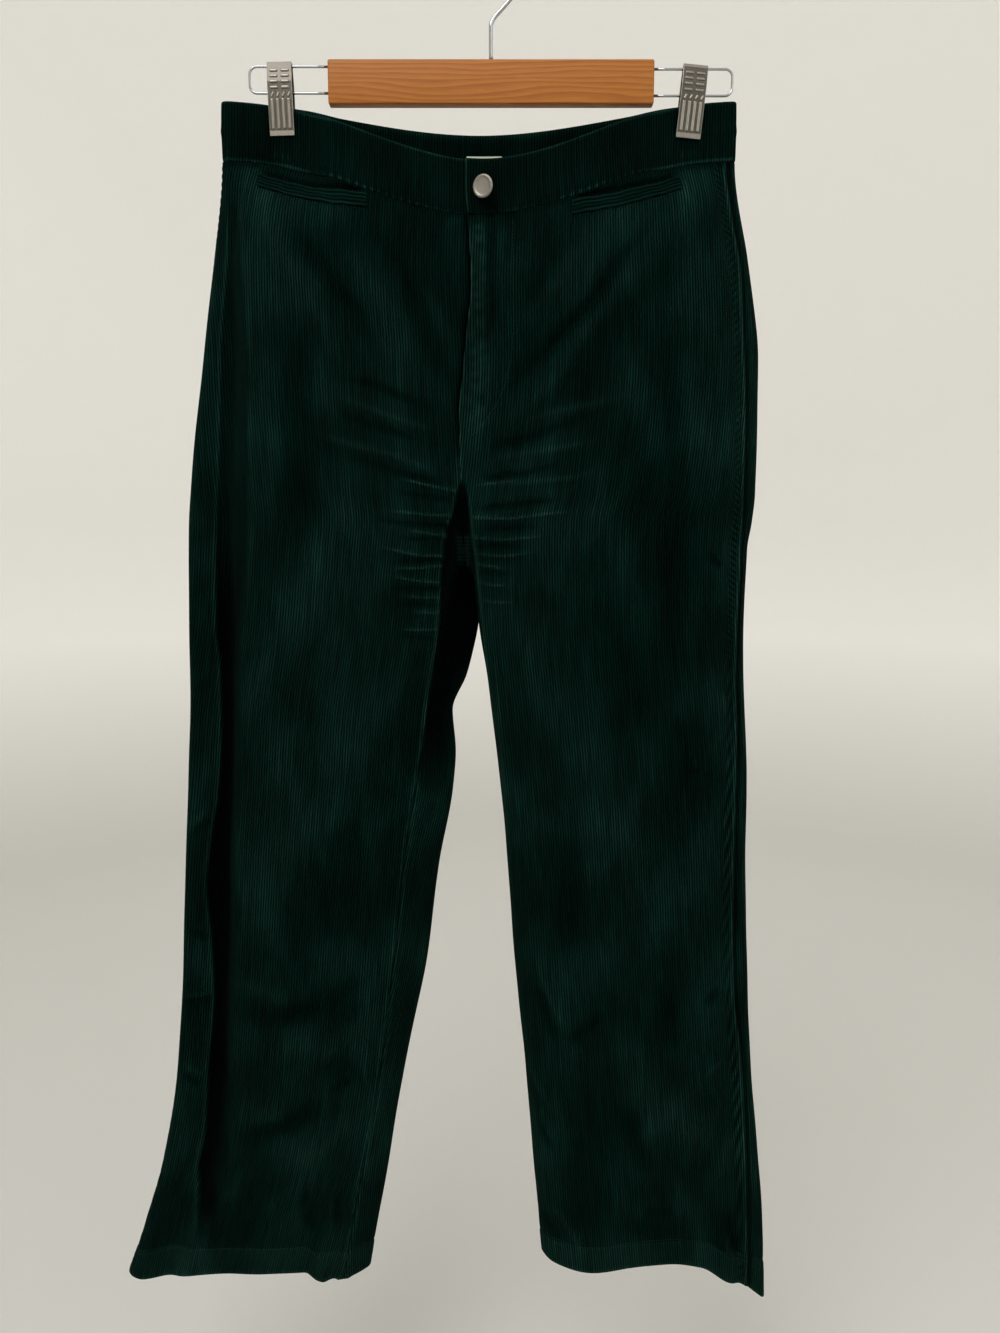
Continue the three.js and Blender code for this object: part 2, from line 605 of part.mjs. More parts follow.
function straightPlaces(box, along, down) {
  const places = [];
  for (let k = 0; k <= down; k += 1) {
    const z = THREE.MathUtils.lerp(box.top, box.bottom, k / down);
    const row = [];
    for (let i = 0; i <= along; i += 1) row.push([THREE.MathUtils.lerp(box.left, box.right, i / along), z]);
    places.push(row);
  }
  return places;
}

const grids = { right: halfGrid(HALVES.right), left: halfGrid(HALVES.left) };

function zip() {
  const inside = -(CLOTH + SEAM_GAP);
  return patch(
    grids.left, 0, frontCount(HALVES.left), straightPlaces(ZIP, 2, 10),
    () => inside - ZIP.thick, () => inside, HALVES.left.turn,
  );
}

function label() {
  const inside = -(BAND_CLOTH + SEAM_GAP);
  return patch(
    backBandGrid, 0, backBandGrid.rows[0].length - 1, straightPlaces(LABEL, 4, 3),
    () => inside - LABEL.thick, () => inside, HALVES.right.turn,
  );
}

// Solids that are cut or joined
function solid(geometry) {
  const bare = geometry.index ? geometry.clone() : geometry;
  bare.deleteAttribute('normal');
  bare.deleteAttribute('uv');
  const merged = mergeVertices(bare, 1e-4);
  return new wasm.Manifold(new wasm.Mesh({
    numProp: 3,
    vertProperties: new Float32Array(merged.attributes.position.array),
    triVerts: new Uint32Array(merged.index.array),
  }));
}

function geometryOf(made) {
  const mesh = made.getMesh();
  const geometry = new THREE.BufferGeometry();
  geometry.setAttribute('position', new THREE.BufferAttribute(mesh.vertProperties, 3));
  geometry.setIndex(new THREE.BufferAttribute(mesh.triVerts, 1));
  return geometry;
}

// A shank button: a dished disc with a rolled rim on a short stud
function button() {
  const {
    radius, thick, stud, shank,
  } = BUTTON;
  const profile = [
    [0, 0],
    [stud, 0],
    [stud, shank],
    [radius - 1.2, shank],
    [radius, shank + thick * 0.45],
    [radius - 0.7, shank + thick],
    [radius - 2.2, shank + thick * 0.9],
    [radius - 3.4, shank + thick * 0.7],
    [0, shank + thick * 0.62],
  ].map(([r, h]) => new THREE.Vector2(r, h));
  return new THREE.LatheGeometry(profile, 28);
}

function bar() {
  const { length, height, depth, round } = BAR;
  const face = new THREE.Shape();
  const half = { x: length / 2 - round, z: height / 2 - round };
  face.moveTo(-half.x, -half.z);
  face.lineTo(half.x, -half.z);
  face.lineTo(half.x, half.z);
  face.lineTo(-half.x, half.z);
  face.closePath();
  const geometry = new THREE.ExtrudeGeometry(face, {
    depth: depth - 2 * round, bevelEnabled: true, bevelSize: round, bevelThickness: round, bevelSegments: 3,
  });
  geometry.translate(0, 0, round - depth / 2);
  geometry.rotateX(Math.PI / 2);
  return geometry;
}

function circle(radius, sides) {
  const shape = new THREE.Shape();
  for (let i = 0; i < sides; i += 1) {
    const turn = (2 * Math.PI * i) / sides;
    const method = i === 0 ? 'moveTo' : 'lineTo';
    shape[method](radius * Math.cos(turn), radius * Math.sin(turn));
  }
  shape.closePath();
  return shape;
}

function wire(path, radius, sides, steps) {
  return new THREE.ExtrudeGeometry(circle(radius, sides), { extrudePath: path, steps, bevelEnabled: false });
}

function arc(middleX, middleZ, radius, start, end) {
  const points = [];
  const count = 9;
  for (let i = 0; i <= count; i += 1) {
    const turn = THREE.MathUtils.lerp(start, end, i / count);
    points.push(new THREE.Vector3(middleX + radius * Math.cos(turn), 0, middleZ + radius * Math.sin(turn)));
  }
  return points;
}

// The hook rises from the bar, leans to one side and runs round the rail
function hook() {
  const { wire: thick, radius, lean, turn } = HOOK;
  const middle = thick - radius;
  const joins = new THREE.Vector3(radius * Math.cos(lean), 0, middle - radius * Math.sin(lean));
  const bendZ = joins.z - joins.x / Math.tan(lean);
  const up = (z) => new THREE.Vector3(0, 0, z);
  const round = [];
  const steps = 26;
  for (let i = 1; i <= steps; i += 1) {
    const at = -lean + (turn * i) / steps;
    round.push(new THREE.Vector3(radius * Math.cos(at), 0, middle + radius * Math.sin(at)));
  }
  const path = new THREE.CatmullRomCurve3([
    up(BAR.top + SEAM_GAP), up(BAR.top + 12), up(bendZ - 6), up(bendZ - 2.2),
    up(bendZ).lerp(joins, 0.14), up(bendZ).lerp(joins, 0.5), joins, ...round,
  ], false, 'centripetal');
  return wire(path, thick, 8, 46);
}

// A wire loop leaves one end of the bar and comes back to it
function loop(side, high) {
  const { wire: thick, end, height, corner } = LOOP;
  const low = high - height;
  const start = BAR.length / 2 + SEAM_GAP;
  const x = end - thick - corner;
  const points = [
    new THREE.Vector3(start, 0, high), new THREE.Vector3((start + x) / 2, 0, high),
    ...arc(x, high - corner, corner, Math.PI / 2, 0),
    ...arc(x, low + corner, corner, 0, -Math.PI / 2),
    new THREE.Vector3((start + x) / 2, 0, low), new THREE.Vector3(start, 0, low),
  ];
  const placed = points.map((p) => new THREE.Vector3(side * p.x, p.y, p.z));
  return wire(new THREE.CatmullRomCurve3(placed, false, 'centripetal'), thick, 6, 30);
}

// A bent steel clip over the upper wire, its jaws on both faces of the band, ribbed on the front
function clip() {
  const opposite = (list) => list.slice(1).map(([y, z]) => [-y, z]);
  const outline = [
    ...opposite(CLIP_OUTSIDE).reverse(),
    ...CLIP_OUTSIDE,
    ...[...CLIP_INSIDE].reverse(),
    ...opposite(CLIP_INSIDE),
  ];
  const shape = new THREE.Shape(outline.map(([y, z]) => new THREE.Vector2(y, z)));
  const body = new THREE.ExtrudeGeometry(shape, { depth: CLIP.width, bevelEnabled: false });
  body.translate(0, 0, -CLIP.width / 2);
  body.applyMatrix4(new THREE.Matrix4().makeBasis(
    new THREE.Vector3(0, 1, 0), new THREE.Vector3(0, 0, 1), new THREE.Vector3(1, 0, 0),
  ));
  let made = solid(body);
  const faceAt = (z) => {
    const i = CLIP_OUTSIDE.findIndex(([, level]) => level <= z);
    const [[nearY, nearZ], [farY, farZ]] = [CLIP_OUTSIDE[i - 1], CLIP_OUTSIDE[i]];
    return -THREE.MathUtils.lerp(nearY, farY, (z - nearZ) / (farZ - nearZ));
  };
  const emboss = (x, z, wide, high) => {
    made = made.add(solid(new THREE.BoxGeometry(wide, RIB.deep, high).translate(x, faceAt(z), z)));
  };
  for (let k = 0; k < RIB.count; k += 1) {
    emboss((k - (RIB.count - 1) / 2) * RIB.pitch, RIB.middle, RIB.width, RIB.length);
    emboss(-RIB.pitch, RIB.barsFrom - RIB.pitch * k, RIB.bar, RIB.width);
    emboss(RIB.pitch, RIB.barsFrom - RIB.pitch * k, RIB.bar, RIB.width);
  }
  return geometryOf(made);
}

const group = new THREE.Group();

function add(name, geometry, colour, roughness, metalness) {
  const material = new THREE.MeshStandardMaterial({ color: colour, roughness, metalness });
  const mesh = new THREE.Mesh(geometry, material);
  mesh.name = name;
  group.add(mesh);
  return mesh;
}

function addCloth(name, geometry, colour = COLOURS.cloth) {
  return add(name, geometry, colour, 0.95, 0);
}

Object.values(HALVES).forEach((half) => {
  const grid = grids[half.name];
  const seam = frontCount(half);
  addCloth(`front_${half.name}`, panel(half, grid, 0, seam));
  addCloth(`back_${half.name}`, panel(half, grid, seam, grid.rows[0].length - 1));
  addCloth(`pocket_welt_${half.name}`, welt(half, grid, WELTS[half.name]), COLOURS.welt);
});

addCloth('waistband_front_right', rightFrontBand());
addCloth('waistband_front_left', leftFrontBand());
addCloth('waistband_back', bandWall(backBandGrid, HALVES.right.turn, () => 0));
add('zip', zip(), COLOURS.zip, 0.8, 0);
add('label', label(), COLOURS.label, 0.9, 0);

const studSeat = pointAt(leftBand, 0, frontCount(HALVES.left), BUTTON.x, BUTTON.z);
const buttonMesh = add('button', button(), COLOURS.metal, 0.4, 0.9);
const buttonFaces = new THREE.Vector3(Math.sin(BUTTON.turn), -Math.cos(BUTTON.turn), BUTTON.nod).normalize();
buttonMesh.quaternion.setFromUnitVectors(new THREE.Vector3(0, 1, 0), buttonFaces);
buttonMesh.position.copy(studSeat.point).addScaledVector(studSeat.outward, OVERLAP.raised + BUTTON.off);

add('hanger_bar', bar(), COLOURS.wood, 0.45, 0).position.set(0, 0, BAR.top - BAR.height / 2);
add('hanger_hook', hook(), COLOURS.chrome, 0.25, 1);
add('hanger_wire_right', loop(-1, LOOP_TOPS.right), COLOURS.chrome, 0.25, 1);
add('hanger_wire_left', loop(1, LOOP_TOPS.left), COLOURS.chrome, 0.25, 1);

Object.entries(CLIPS).forEach(([name, place]) => {
  const mesh = add(`clip_${name}`, clip(), COLOURS.metal, 0.35, 0.95);
  const pivot = new THREE.Vector3(place.x, 0, (BAND_TOP + CLIP.bottom) / 2);
  mesh.rotation.y = place.lean;
  mesh.position.copy(pivot).sub(new THREE.Vector3(0, 0, pivot.z).applyEuler(mesh.rotation));
  mesh.position.z += LOOP_TOPS[name] - LOOP_TOPS.right + 0.3;
});

export default group;
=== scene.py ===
# %% [markdown]
# Corduroy trousers on a wooden clip hanger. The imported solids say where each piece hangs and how
# large it is. This script dresses them: each cloth panel is a fine sheet that follows its solid and
# carries the creases, seams and cords of the real cloth, and the hanger gets its wood and metal.

import math

import bmesh
import bpy
import numpy as np
from mathutils import Matrix, Vector
from mathutils.bvhtree import BVHTree


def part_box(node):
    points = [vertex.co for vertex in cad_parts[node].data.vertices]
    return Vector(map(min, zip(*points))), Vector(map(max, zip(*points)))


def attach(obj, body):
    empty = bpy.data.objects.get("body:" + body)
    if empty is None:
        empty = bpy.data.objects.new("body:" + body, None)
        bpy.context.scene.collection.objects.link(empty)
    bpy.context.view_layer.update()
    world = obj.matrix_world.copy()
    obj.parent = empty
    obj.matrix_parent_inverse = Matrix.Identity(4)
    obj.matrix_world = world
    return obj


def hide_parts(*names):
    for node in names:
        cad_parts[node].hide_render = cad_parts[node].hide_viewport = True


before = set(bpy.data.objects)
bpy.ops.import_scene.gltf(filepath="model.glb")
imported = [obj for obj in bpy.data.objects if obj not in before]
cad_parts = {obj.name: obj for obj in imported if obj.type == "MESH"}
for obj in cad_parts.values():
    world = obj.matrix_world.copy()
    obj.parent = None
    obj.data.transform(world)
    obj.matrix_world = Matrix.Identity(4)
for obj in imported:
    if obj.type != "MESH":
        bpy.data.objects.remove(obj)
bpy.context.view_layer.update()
BODY = "root"
MM = 0.001

# %% [markdown]
# ## Finishes
# Each finish is named for the real material. Colours are written as sRGB hex values, as a painter
# picks them, and one function turns them into the linear values that the shader computes with.

# %% Helpers for materials
def linear(code):
    channels = [int(code[k:k + 2], 16) / 255 for k in (1, 3, 5)]
    return [c / 12.92 if c <= 0.04045 else ((c + 0.055) / 1.055) ** 2.4 for c in channels] + [1.0]


def node(tree, kind, inputs=None, **settings):
    """Adds a node. inputs gives each socket, by name or number, a value or another node's socket."""
    made = tree.nodes.new("ShaderNode" + kind)
    for name, value in settings.items():
        setattr(made, name, value)
    for key, value in (inputs or {}).items():
        if isinstance(value, bpy.types.NodeSocket):
            tree.links.new(value, made.inputs[key])
        else:
            made.inputs[key].default_value = value
    return made


def finish_named(name):
    """An empty material with its tree and shader."""
    material = bpy.data.materials.new(name)
    material.use_nodes = True
    tree = material.node_tree
    return material, tree, tree.nodes["Principled BSDF"]


def set_shader(shader, **values):
    for name, value in values.items():
        shader.inputs[name.replace("_", " ")].default_value = value


# %% [markdown]
# Corduroy is a cotton pile cloth: cut pile stands in rounded cords with bare ground cloth between
# them. The cords are 2.31 mm apart. Light sinks into the grooves and catches the tops, and where
# the cloth is creased or rubbed the pile wears paler. The pattern reads the cloth's own map, which
# runs in millimetres across and along the cut piece, so the cords follow the grain on every panel.

# %% Corduroy
CORD_PITCH = 2.31      # mm from cord to cord
CORD_RELIEF = 0.45     # mm from groove to top
PILE_TUFT = (0.55, 1.7)  # mm across and along one tuft of pile
PILE_DARK = "#000504"
PILE = "#021a15"
PILE_WORN_AND_HIGHLIGHT = "#23443c"


def corduroy(name, bumped):
    material, tree, shader = finish_named(name)
    grain = node(tree, "UVMap", uv_map="grain")
    split = node(tree, "SeparateXYZ", {0: grain.outputs[0]})
    across, along = split.outputs[0], split.outputs[1]
    # The cords are never quite straight: they wander by a quarter of a millimetre
    slow = node(tree, "VectorMath", {0: grain.outputs[0], 1: (0.05, 0.02, 1)}, operation="MULTIPLY")
    wander = node(tree, "TexNoise", {"Vector": slow.outputs[0], "Scale": 1.0, "Detail": 2.0})
    shifted = node(tree, "Math", {0: wander.outputs[0], 1: 0.5, 2: across}, operation="MULTIPLY_ADD")
    turns = node(tree, "Math", {0: shifted.outputs[0], 1: 1 / CORD_PITCH}, operation="MULTIPLY")
    part = node(tree, "Math", {0: turns.outputs[0]}, operation="FRACT")
    centred = node(tree, "Math", {0: part.outputs[0], 1: 0.5}, operation="SUBTRACT")
    away = node(tree, "Math", {0: centred.outputs[0]}, operation="ABSOLUTE")
    cord = node(tree, "MapRange", {
        "Value": away.outputs[0], "From Min": 0.47, "From Max": 0.1, "To Min": 0.0, "To Max": 1.0,
    }, interpolation_type="SMOOTHSTEP")
    # Tufts of cut pile, longer along the cord than across it
    tuft_map = node(tree, "VectorMath", {
        0: grain.outputs[0], 1: (1 / PILE_TUFT[0], 1 / PILE_TUFT[1], 1),
    }, operation="MULTIPLY")
    tuft = node(tree, "TexNoise", {"Vector": tuft_map.outputs[0], "Scale": 1.0, "Detail": 2.0})
    # Patches where the pile was brushed one way or the other
    patch_map = node(tree, "VectorMath", {0: grain.outputs[0], 1: (0.022, 0.012, 1)}, operation="MULTIPLY")
    patches = node(tree, "TexNoise", {"Vector": patch_map.outputs[0], "Scale": 1.0, "Detail": 4.0})
    brushed = node(tree, "MapRange", {
        "Value": patches.outputs[0], "From Min": 0.3, "From Max": 0.7, "To Min": 0.52, "To Max": 1.16,
    })
    speckled = node(tree, "MapRange", {
        "Value": tuft.outputs[0], "From Min": 0.25, "From Max": 0.75, "To Min": 0.55, "To Max": 1.3,
    })
    # No two cords are brushed alike: each runs lighter or darker for a few centimetres
    streak_map = node(tree, "VectorMath", {
        0: grain.outputs[0], 1: (0.9 / CORD_PITCH, 0.021, 1),
    }, operation="MULTIPLY")
    streaks = node(tree, "TexNoise", {"Vector": streak_map.outputs[0], "Scale": 1.0, "Detail": 3.0})
    streaked = node(tree, "MapRange", {
        "Value": streaks.outputs[0], "From Min": 0.3, "From Max": 0.7, "To Min": 0.55, "To Max": 1.45,
    })
    tufted = node(tree, "Math", {0: cord.outputs[0], 1: speckled.outputs[0]}, operation="MULTIPLY")
    shown = node(tree, "Math", {0: tufted.outputs[0], 1: streaked.outputs[0]}, operation="MULTIPLY")
    # Painted shade: the grooves between the cords take the dark pile colour, and the tufts and streaks vary
    # the pile's own tone
    pile = node(tree, "Mix", {0: shown.outputs[0], 6: linear(PILE_DARK), 7: linear(PILE)},
                data_type="RGBA", clamp_factor=False)
    # The wear, painted shade and painted highlights that the making of the panel stored on each point
    stored = node(tree, "Attribute", attribute_name="wear_and_painted_light")
    # Where the pile is brushed up it also looks dustier
    dusty = node(tree, "MapRange", {
        "Value": patches.outputs[0], "From Min": 0.45, "From Max": 0.75, "To Min": 0.0, "To Max": 0.16,
    })
    total = node(tree, "Math", {0: stored.outputs["Fac"], 1: dusty.outputs[0]}, operation="ADD")
    rubbed_and_painted_light = node(tree, "Math", {0: total.outputs[0], 1: shown.outputs[0]}, operation="MULTIPLY",
                  use_clamp=True)
    # Rubbed pile and the painted highlights both mix towards the pale worn colour
    worn_and_painted_light = node(tree, "Mix", {0: rubbed_and_painted_light.outputs[0], 6: pile.outputs[2], 7: linear(PILE_WORN_AND_HIGHLIGHT)},
                data_type="RGBA", clamp_factor=True)
    # Painted shade: below zero the stored value darkens the colour, almost to black at -1, in troughs,
    # slits, grooves and under edges
    deep = node(tree, "MapRange", {
        "Value": stored.outputs["Fac"], "From Min": -1.0, "From Max": 0.0, "To Min": 0.06, "To Max": 1.0,
    })
    level = node(tree, "Math", {0: brushed.outputs[0], 1: deep.outputs[0]}, operation="MULTIPLY")
    shade = node(tree, "VectorMath", {0: worn_and_painted_light.outputs[2], 3: level.outputs[0]}, operation="SCALE")
    tree.links.new(shade.outputs[0], shader.inputs["Base Color"])
    relief = node(tree, "Math", {0: tuft.outputs[0], 1: 0.35, 2: cord.outputs[0]}, operation="MULTIPLY_ADD")
    height = relief if bumped else tuft
    bump = node(tree, "Bump", {
        "Height": height.outputs[0], "Strength": 0.9, "Distance": (CORD_RELIEF if bumped else 0.15) * MM,
    })
    tree.links.new(bump.outputs[0], shader.inputs["Normal"])
    # Cotton pile: no gloss, with the soft light edge that short upright fibres give
    set_shader(shader, Roughness=0.92, IOR=1.45, Specular_IOR_Level=0.02, Sheen_Weight=0.025,
               Sheen_Roughness=0.4, Sheen_Tint=linear("#5fae97"))
    print("finish:", name)
    return material


CORDUROY = corduroy("corduroy_bottle_green", True)
CORDUROY_CUT_CORDS = corduroy("corduroy_bottle_green_relief", False)

# %% [markdown]
# Sewing thread is spun polyester, a shade lighter than the cloth and a little glossier.

# %% Thread, zip tape and label tape
def thread(name, colour):
    material, tree, shader = finish_named(name)
    place = node(tree, "TexCoord")
    ply = node(tree, "TexWave", {"Vector": place.outputs["Object"], "Scale": 700.0, "Distortion": 1.5},
               bands_direction="DIAGONAL")
    tone = node(tree, "Mix", {
        0: ply.outputs["Fac"], 6: [c * 0.55 for c in linear(colour)[:3]] + [1.0], 7: linear(colour),
    }, data_type="RGBA")
    bump = node(tree, "Bump", {"Height": ply.outputs["Fac"], "Strength": 0.6, "Distance": 0.1 * MM})
    tree.links.new(tone.outputs[2], shader.inputs["Base Color"])
    tree.links.new(bump.outputs[0], shader.inputs["Normal"])
    set_shader(shader, Roughness=0.7, Specular_IOR_Level=0.15, Sheen_Weight=0.03)
    return material


def woven_tape(name, colour, dark, pitch):
    """A plain woven tape: threads over and under each other, pitch millimetres apart."""
    material, tree, shader = finish_named(name)
    grain = node(tree, "UVMap", uv_map="grain")
    scaled = node(tree, "VectorMath", {0: grain.outputs[0], 1: (math.pi / pitch, math.pi / pitch, 1)},
                  operation="MULTIPLY")
    split = node(tree, "SeparateXYZ", {0: scaled.outputs[0]})
    warp = node(tree, "Math", {0: split.outputs[0]}, operation="SINE")
    weft = node(tree, "Math", {0: split.outputs[1]}, operation="SINE")
    weave = node(tree, "Math", {0: warp.outputs[0], 1: weft.outputs[0]}, operation="MULTIPLY")
    level = node(tree, "MapRange", {"Value": weave.outputs[0], "From Min": -1.0, "From Max": 1.0})
    tone = node(tree, "Mix", {0: level.outputs[0], 6: linear(dark), 7: linear(colour)}, data_type="RGBA")
    bump = node(tree, "Bump", {"Height": level.outputs[0], "Strength": 0.7, "Distance": 0.12 * MM})
    tree.links.new(tone.outputs[2], shader.inputs["Base Color"])
    tree.links.new(bump.outputs[0], shader.inputs["Normal"])
    set_shader(shader, Roughness=0.85, Specular_IOR_Level=0.2, Sheen_Weight=0.15)
    return material


THREAD = thread("thread_green_polyester", "#052019")
LABEL_TAPE = woven_tape("label_cream_cotton_tape", "#c9ccbd", "#a9ac9c", 0.4)
ZIP_TAPE = woven_tape("zip_green_woven_tape", "#0f2f27", "#04120e", 0.5)
print("finishes:", THREAD.name, LABEL_TAPE.name, ZIP_TAPE.name)

# %% [markdown]
# The metals: chromed steel wire, nickelled sheet steel brushed along its length, and a cast zinc
# button with an antique pewter plating whose dull face is finely mottled. Metals keep the default
# IOR, because their colour is their reflection.

# %% Metals
def chromed_wire():
    material, tree, shader = finish_named("wire_chromed_steel")
    place = node(tree, "TexCoord")
    haze = node(tree, "TexNoise", {"Vector": place.outputs["Object"], "Scale": 160.0, "Detail": 3.0})
    rough = node(tree, "MapRange", {"Value": haze.outputs[0], "To Min": 0.08, "To Max": 0.24})
    tree.links.new(rough.outputs[0], shader.inputs["Roughness"])
    set_shader(shader, Base_Color=linear("#a9abad"), Metallic=1.0)
    return material


def brushed_nickel(name, dark, light):
    material, tree, shader = finish_named(name)
    place = node(tree, "TexCoord")
    # Brush lines run down the clip: 0.15 mm apart and many times as long
    lines = node(tree, "VectorMath", {0: place.outputs["Object"], 1: (3200, 3200, 90)},
                 operation="MULTIPLY")
    brush = node(tree, "TexNoise", {"Vector": lines.outputs[0], "Scale": 1.0, "Detail": 2.0})
    tone = node(tree, "Mix", {0: brush.outputs[0], 6: linear(dark), 7: linear(light)},
                data_type="RGBA")
    rough = node(tree, "MapRange", {"Value": brush.outputs[0], "To Min": 0.26, "To Max": 0.46})
    bump = node(tree, "Bump", {"Height": brush.outputs[0], "Strength": 0.2, "Distance": 0.03 * MM})
    tree.links.new(tone.outputs[2], shader.inputs["Base Color"])
    tree.links.new(rough.outputs[0], shader.inputs["Roughness"])
    tree.links.new(bump.outputs[0], shader.inputs["Normal"])
    set_shader(shader, Metallic=1.0)
    return material


def pewter():
    material, tree, shader = finish_named("button_antique_pewter")
    place = node(tree, "TexCoord")
    mottle = node(tree, "TexNoise", {"Vector": place.outputs["Object"], "Scale": 1400.0, "Detail": 3.0})
    tone = node(tree, "Mix", {0: mottle.outputs[0], 6: linear("#6a665e"), 7: linear("#aca79d")},
                data_type="RGBA")
    bump = node(tree, "Bump", {"Height": mottle.outputs[0], "Strength": 0.5, "Distance": 0.08 * MM})
    tree.links.new(tone.outputs[2], shader.inputs["Base Color"])
    tree.links.new(bump.outputs[0], shader.inputs["Normal"])
    set_shader(shader, Metallic=0.9, Roughness=0.48)
    return material


CHROME = chromed_wire()
NICKEL = brushed_nickel("clip_brushed_nickel_steel", "#6b665e", "#a8a399")
# Painted shade: a darker copy of the nickel for the ground between the pressed bars
NICKEL_PAINTED_SHADE = brushed_nickel("clip_nickel_painted_shade", "#3f3c37", "#6e6a62")
PEWTER = pewter()
print("metals:", CHROME.name, NICKEL.name, PEWTER.name)

# %% [markdown]
# The bar is planed softwood with a clear satin lacquer. Its year rings run along the bar, so the
# front shows long wavy streaks about 4 mm apart, with finer pores between them.

# %% Lacquered wood
RING_PITCH = 4.4  # mm between year rings on the face


def lacquered_wood():
    material, tree, shader = finish_named("bar_lacquered_softwood")
    place = node(tree, "TexCoord")
    stretched = node(tree, "Mapping", {"Vector": place.outputs["Object"], "Scale": (9, 60, 60)})
    bend = node(tree, "TexNoise", {"Vector": stretched.outputs[0], "Scale": 0.6, "Detail": 2.0})
    split = node(tree, "SeparateXYZ", {0: place.outputs["Object"]})
    across = node(tree, "Math", {0: split.outputs[2], 1: 1000 / RING_PITCH}, operation="MULTIPLY")
    warped = node(tree, "Math", {0: bend.outputs[0], 1: 5.0, 2: across.outputs[0]},
                  operation="MULTIPLY_ADD")
    rings = node(tree, "Math", {0: warped.outputs[0]}, operation="FRACT")
    late = node(tree, "MapRange", {"Value": rings.outputs[0], "From Min": 0.15, "From Max": 0.95},
                interpolation_type="SMOOTHSTEP")
    fibre_map = node(tree, "VectorMath", {0: place.outputs["Object"], 1: (70, 2400, 2400)},
                     operation="MULTIPLY")
    fibre = node(tree, "TexNoise", {"Vector": fibre_map.outputs[0], "Scale": 1.0, "Detail": 3.0})
    mixed = node(tree, "Math", {0: late.outputs[0], 1: 0.55, 2: fibre.outputs[0]}, operation="MULTIPLY_ADD")
    amount = node(tree, "MapRange", {"Value": mixed.outputs[0], "From Min": 0.35, "From Max": 1.1})
    tone = node(tree, "Mix", {0: amount.outputs[0], 6: linear("#a96824"), 7: linear("#8f5213")},
                data_type="RGBA")
    bump = node(tree, "Bump", {"Height": fibre.outputs[0], "Strength": 0.25, "Distance": 0.1 * MM})
    tree.links.new(tone.outputs[2], shader.inputs["Base Color"])
    tree.links.new(bump.outputs[0], shader.inputs["Normal"])
    set_shader(shader, Roughness=0.5, IOR=1.45, Specular_IOR_Level=0.3, Coat_Weight=0.12,
               Coat_Roughness=0.35)
    return material


WOOD = lacquered_wood()
print("finish:", WOOD.name)

# %% [markdown]
# ## The hanging shape
# The tables below are the solids' own, with a few values set closer to the photo at the waist, the
# crotch and the hems: cross-sections at named heights, in millimetres.
# Curves through them give the hanging form, and the sheets are drawn over it far more finely.

# %% Curves through tables
def curves(columns, rows):
    """Reads a table at any places between its rows, with monotone curves that never overshoot."""
    table = np.array(rows, float)
    order = 1.0 if table[-1, 0] > table[0, 0] else -1.0
    keys = order * table[:, 0]
    steps = np.diff(keys)
    found = {}
    for index, name in enumerate(columns[1:], 1):
        values = table[:, index]
        rises = np.diff(values) / steps
        slopes = np.zeros(len(values))
        slopes[0], slopes[-1] = rises[0], rises[-1]
        for i in range(1, len(values) - 1):
            if rises[i - 1] * rises[i] > 0:
                slopes[i] = 2 * rises[i - 1] * rises[i] / (rises[i - 1] + rises[i])

        def read(at, values=values, slopes=slopes):
            place = order * np.asarray(at, float)
            i = np.clip(np.searchsorted(keys, place) - 1, 0, len(steps) - 1)
            h = steps[i]
            t = np.clip((place - keys[i]) / h, 0, 1)
            rest = (1 - t) ** 2
            return ((1 + 2 * t) * rest * values[i] + t * rest * h * slopes[i]
                    + t * t * (3 - 2 * t) * values[i + 1] - t * t * (1 - t) * h * slopes[i + 1])
        found[name] = read
    return found


def smooth(t):
    c = np.clip(t, 0, 1)
    return c * c * (3 - 2 * c)


# %% Heights and cross-sections
BAND_TOP = -120.5
BAND_SEAM = -169.0
CROTCH = -493.0
CROTCH_X = -25.0
HEM_FOOT = -1195.0
HEM_HEIGHT = 27.0
WAIST_MIDDLE = -10.0
WAIST_HALF = 216.5
FRONT_TOP_DROP = (53, 2.4)
FRONT_SEAM_DROP = (50, 2.3)
BACK_DROP = (22, 2.0)
DROP_FADES_AT = -444.0
HEM_LINE_STARTS = -1040.0

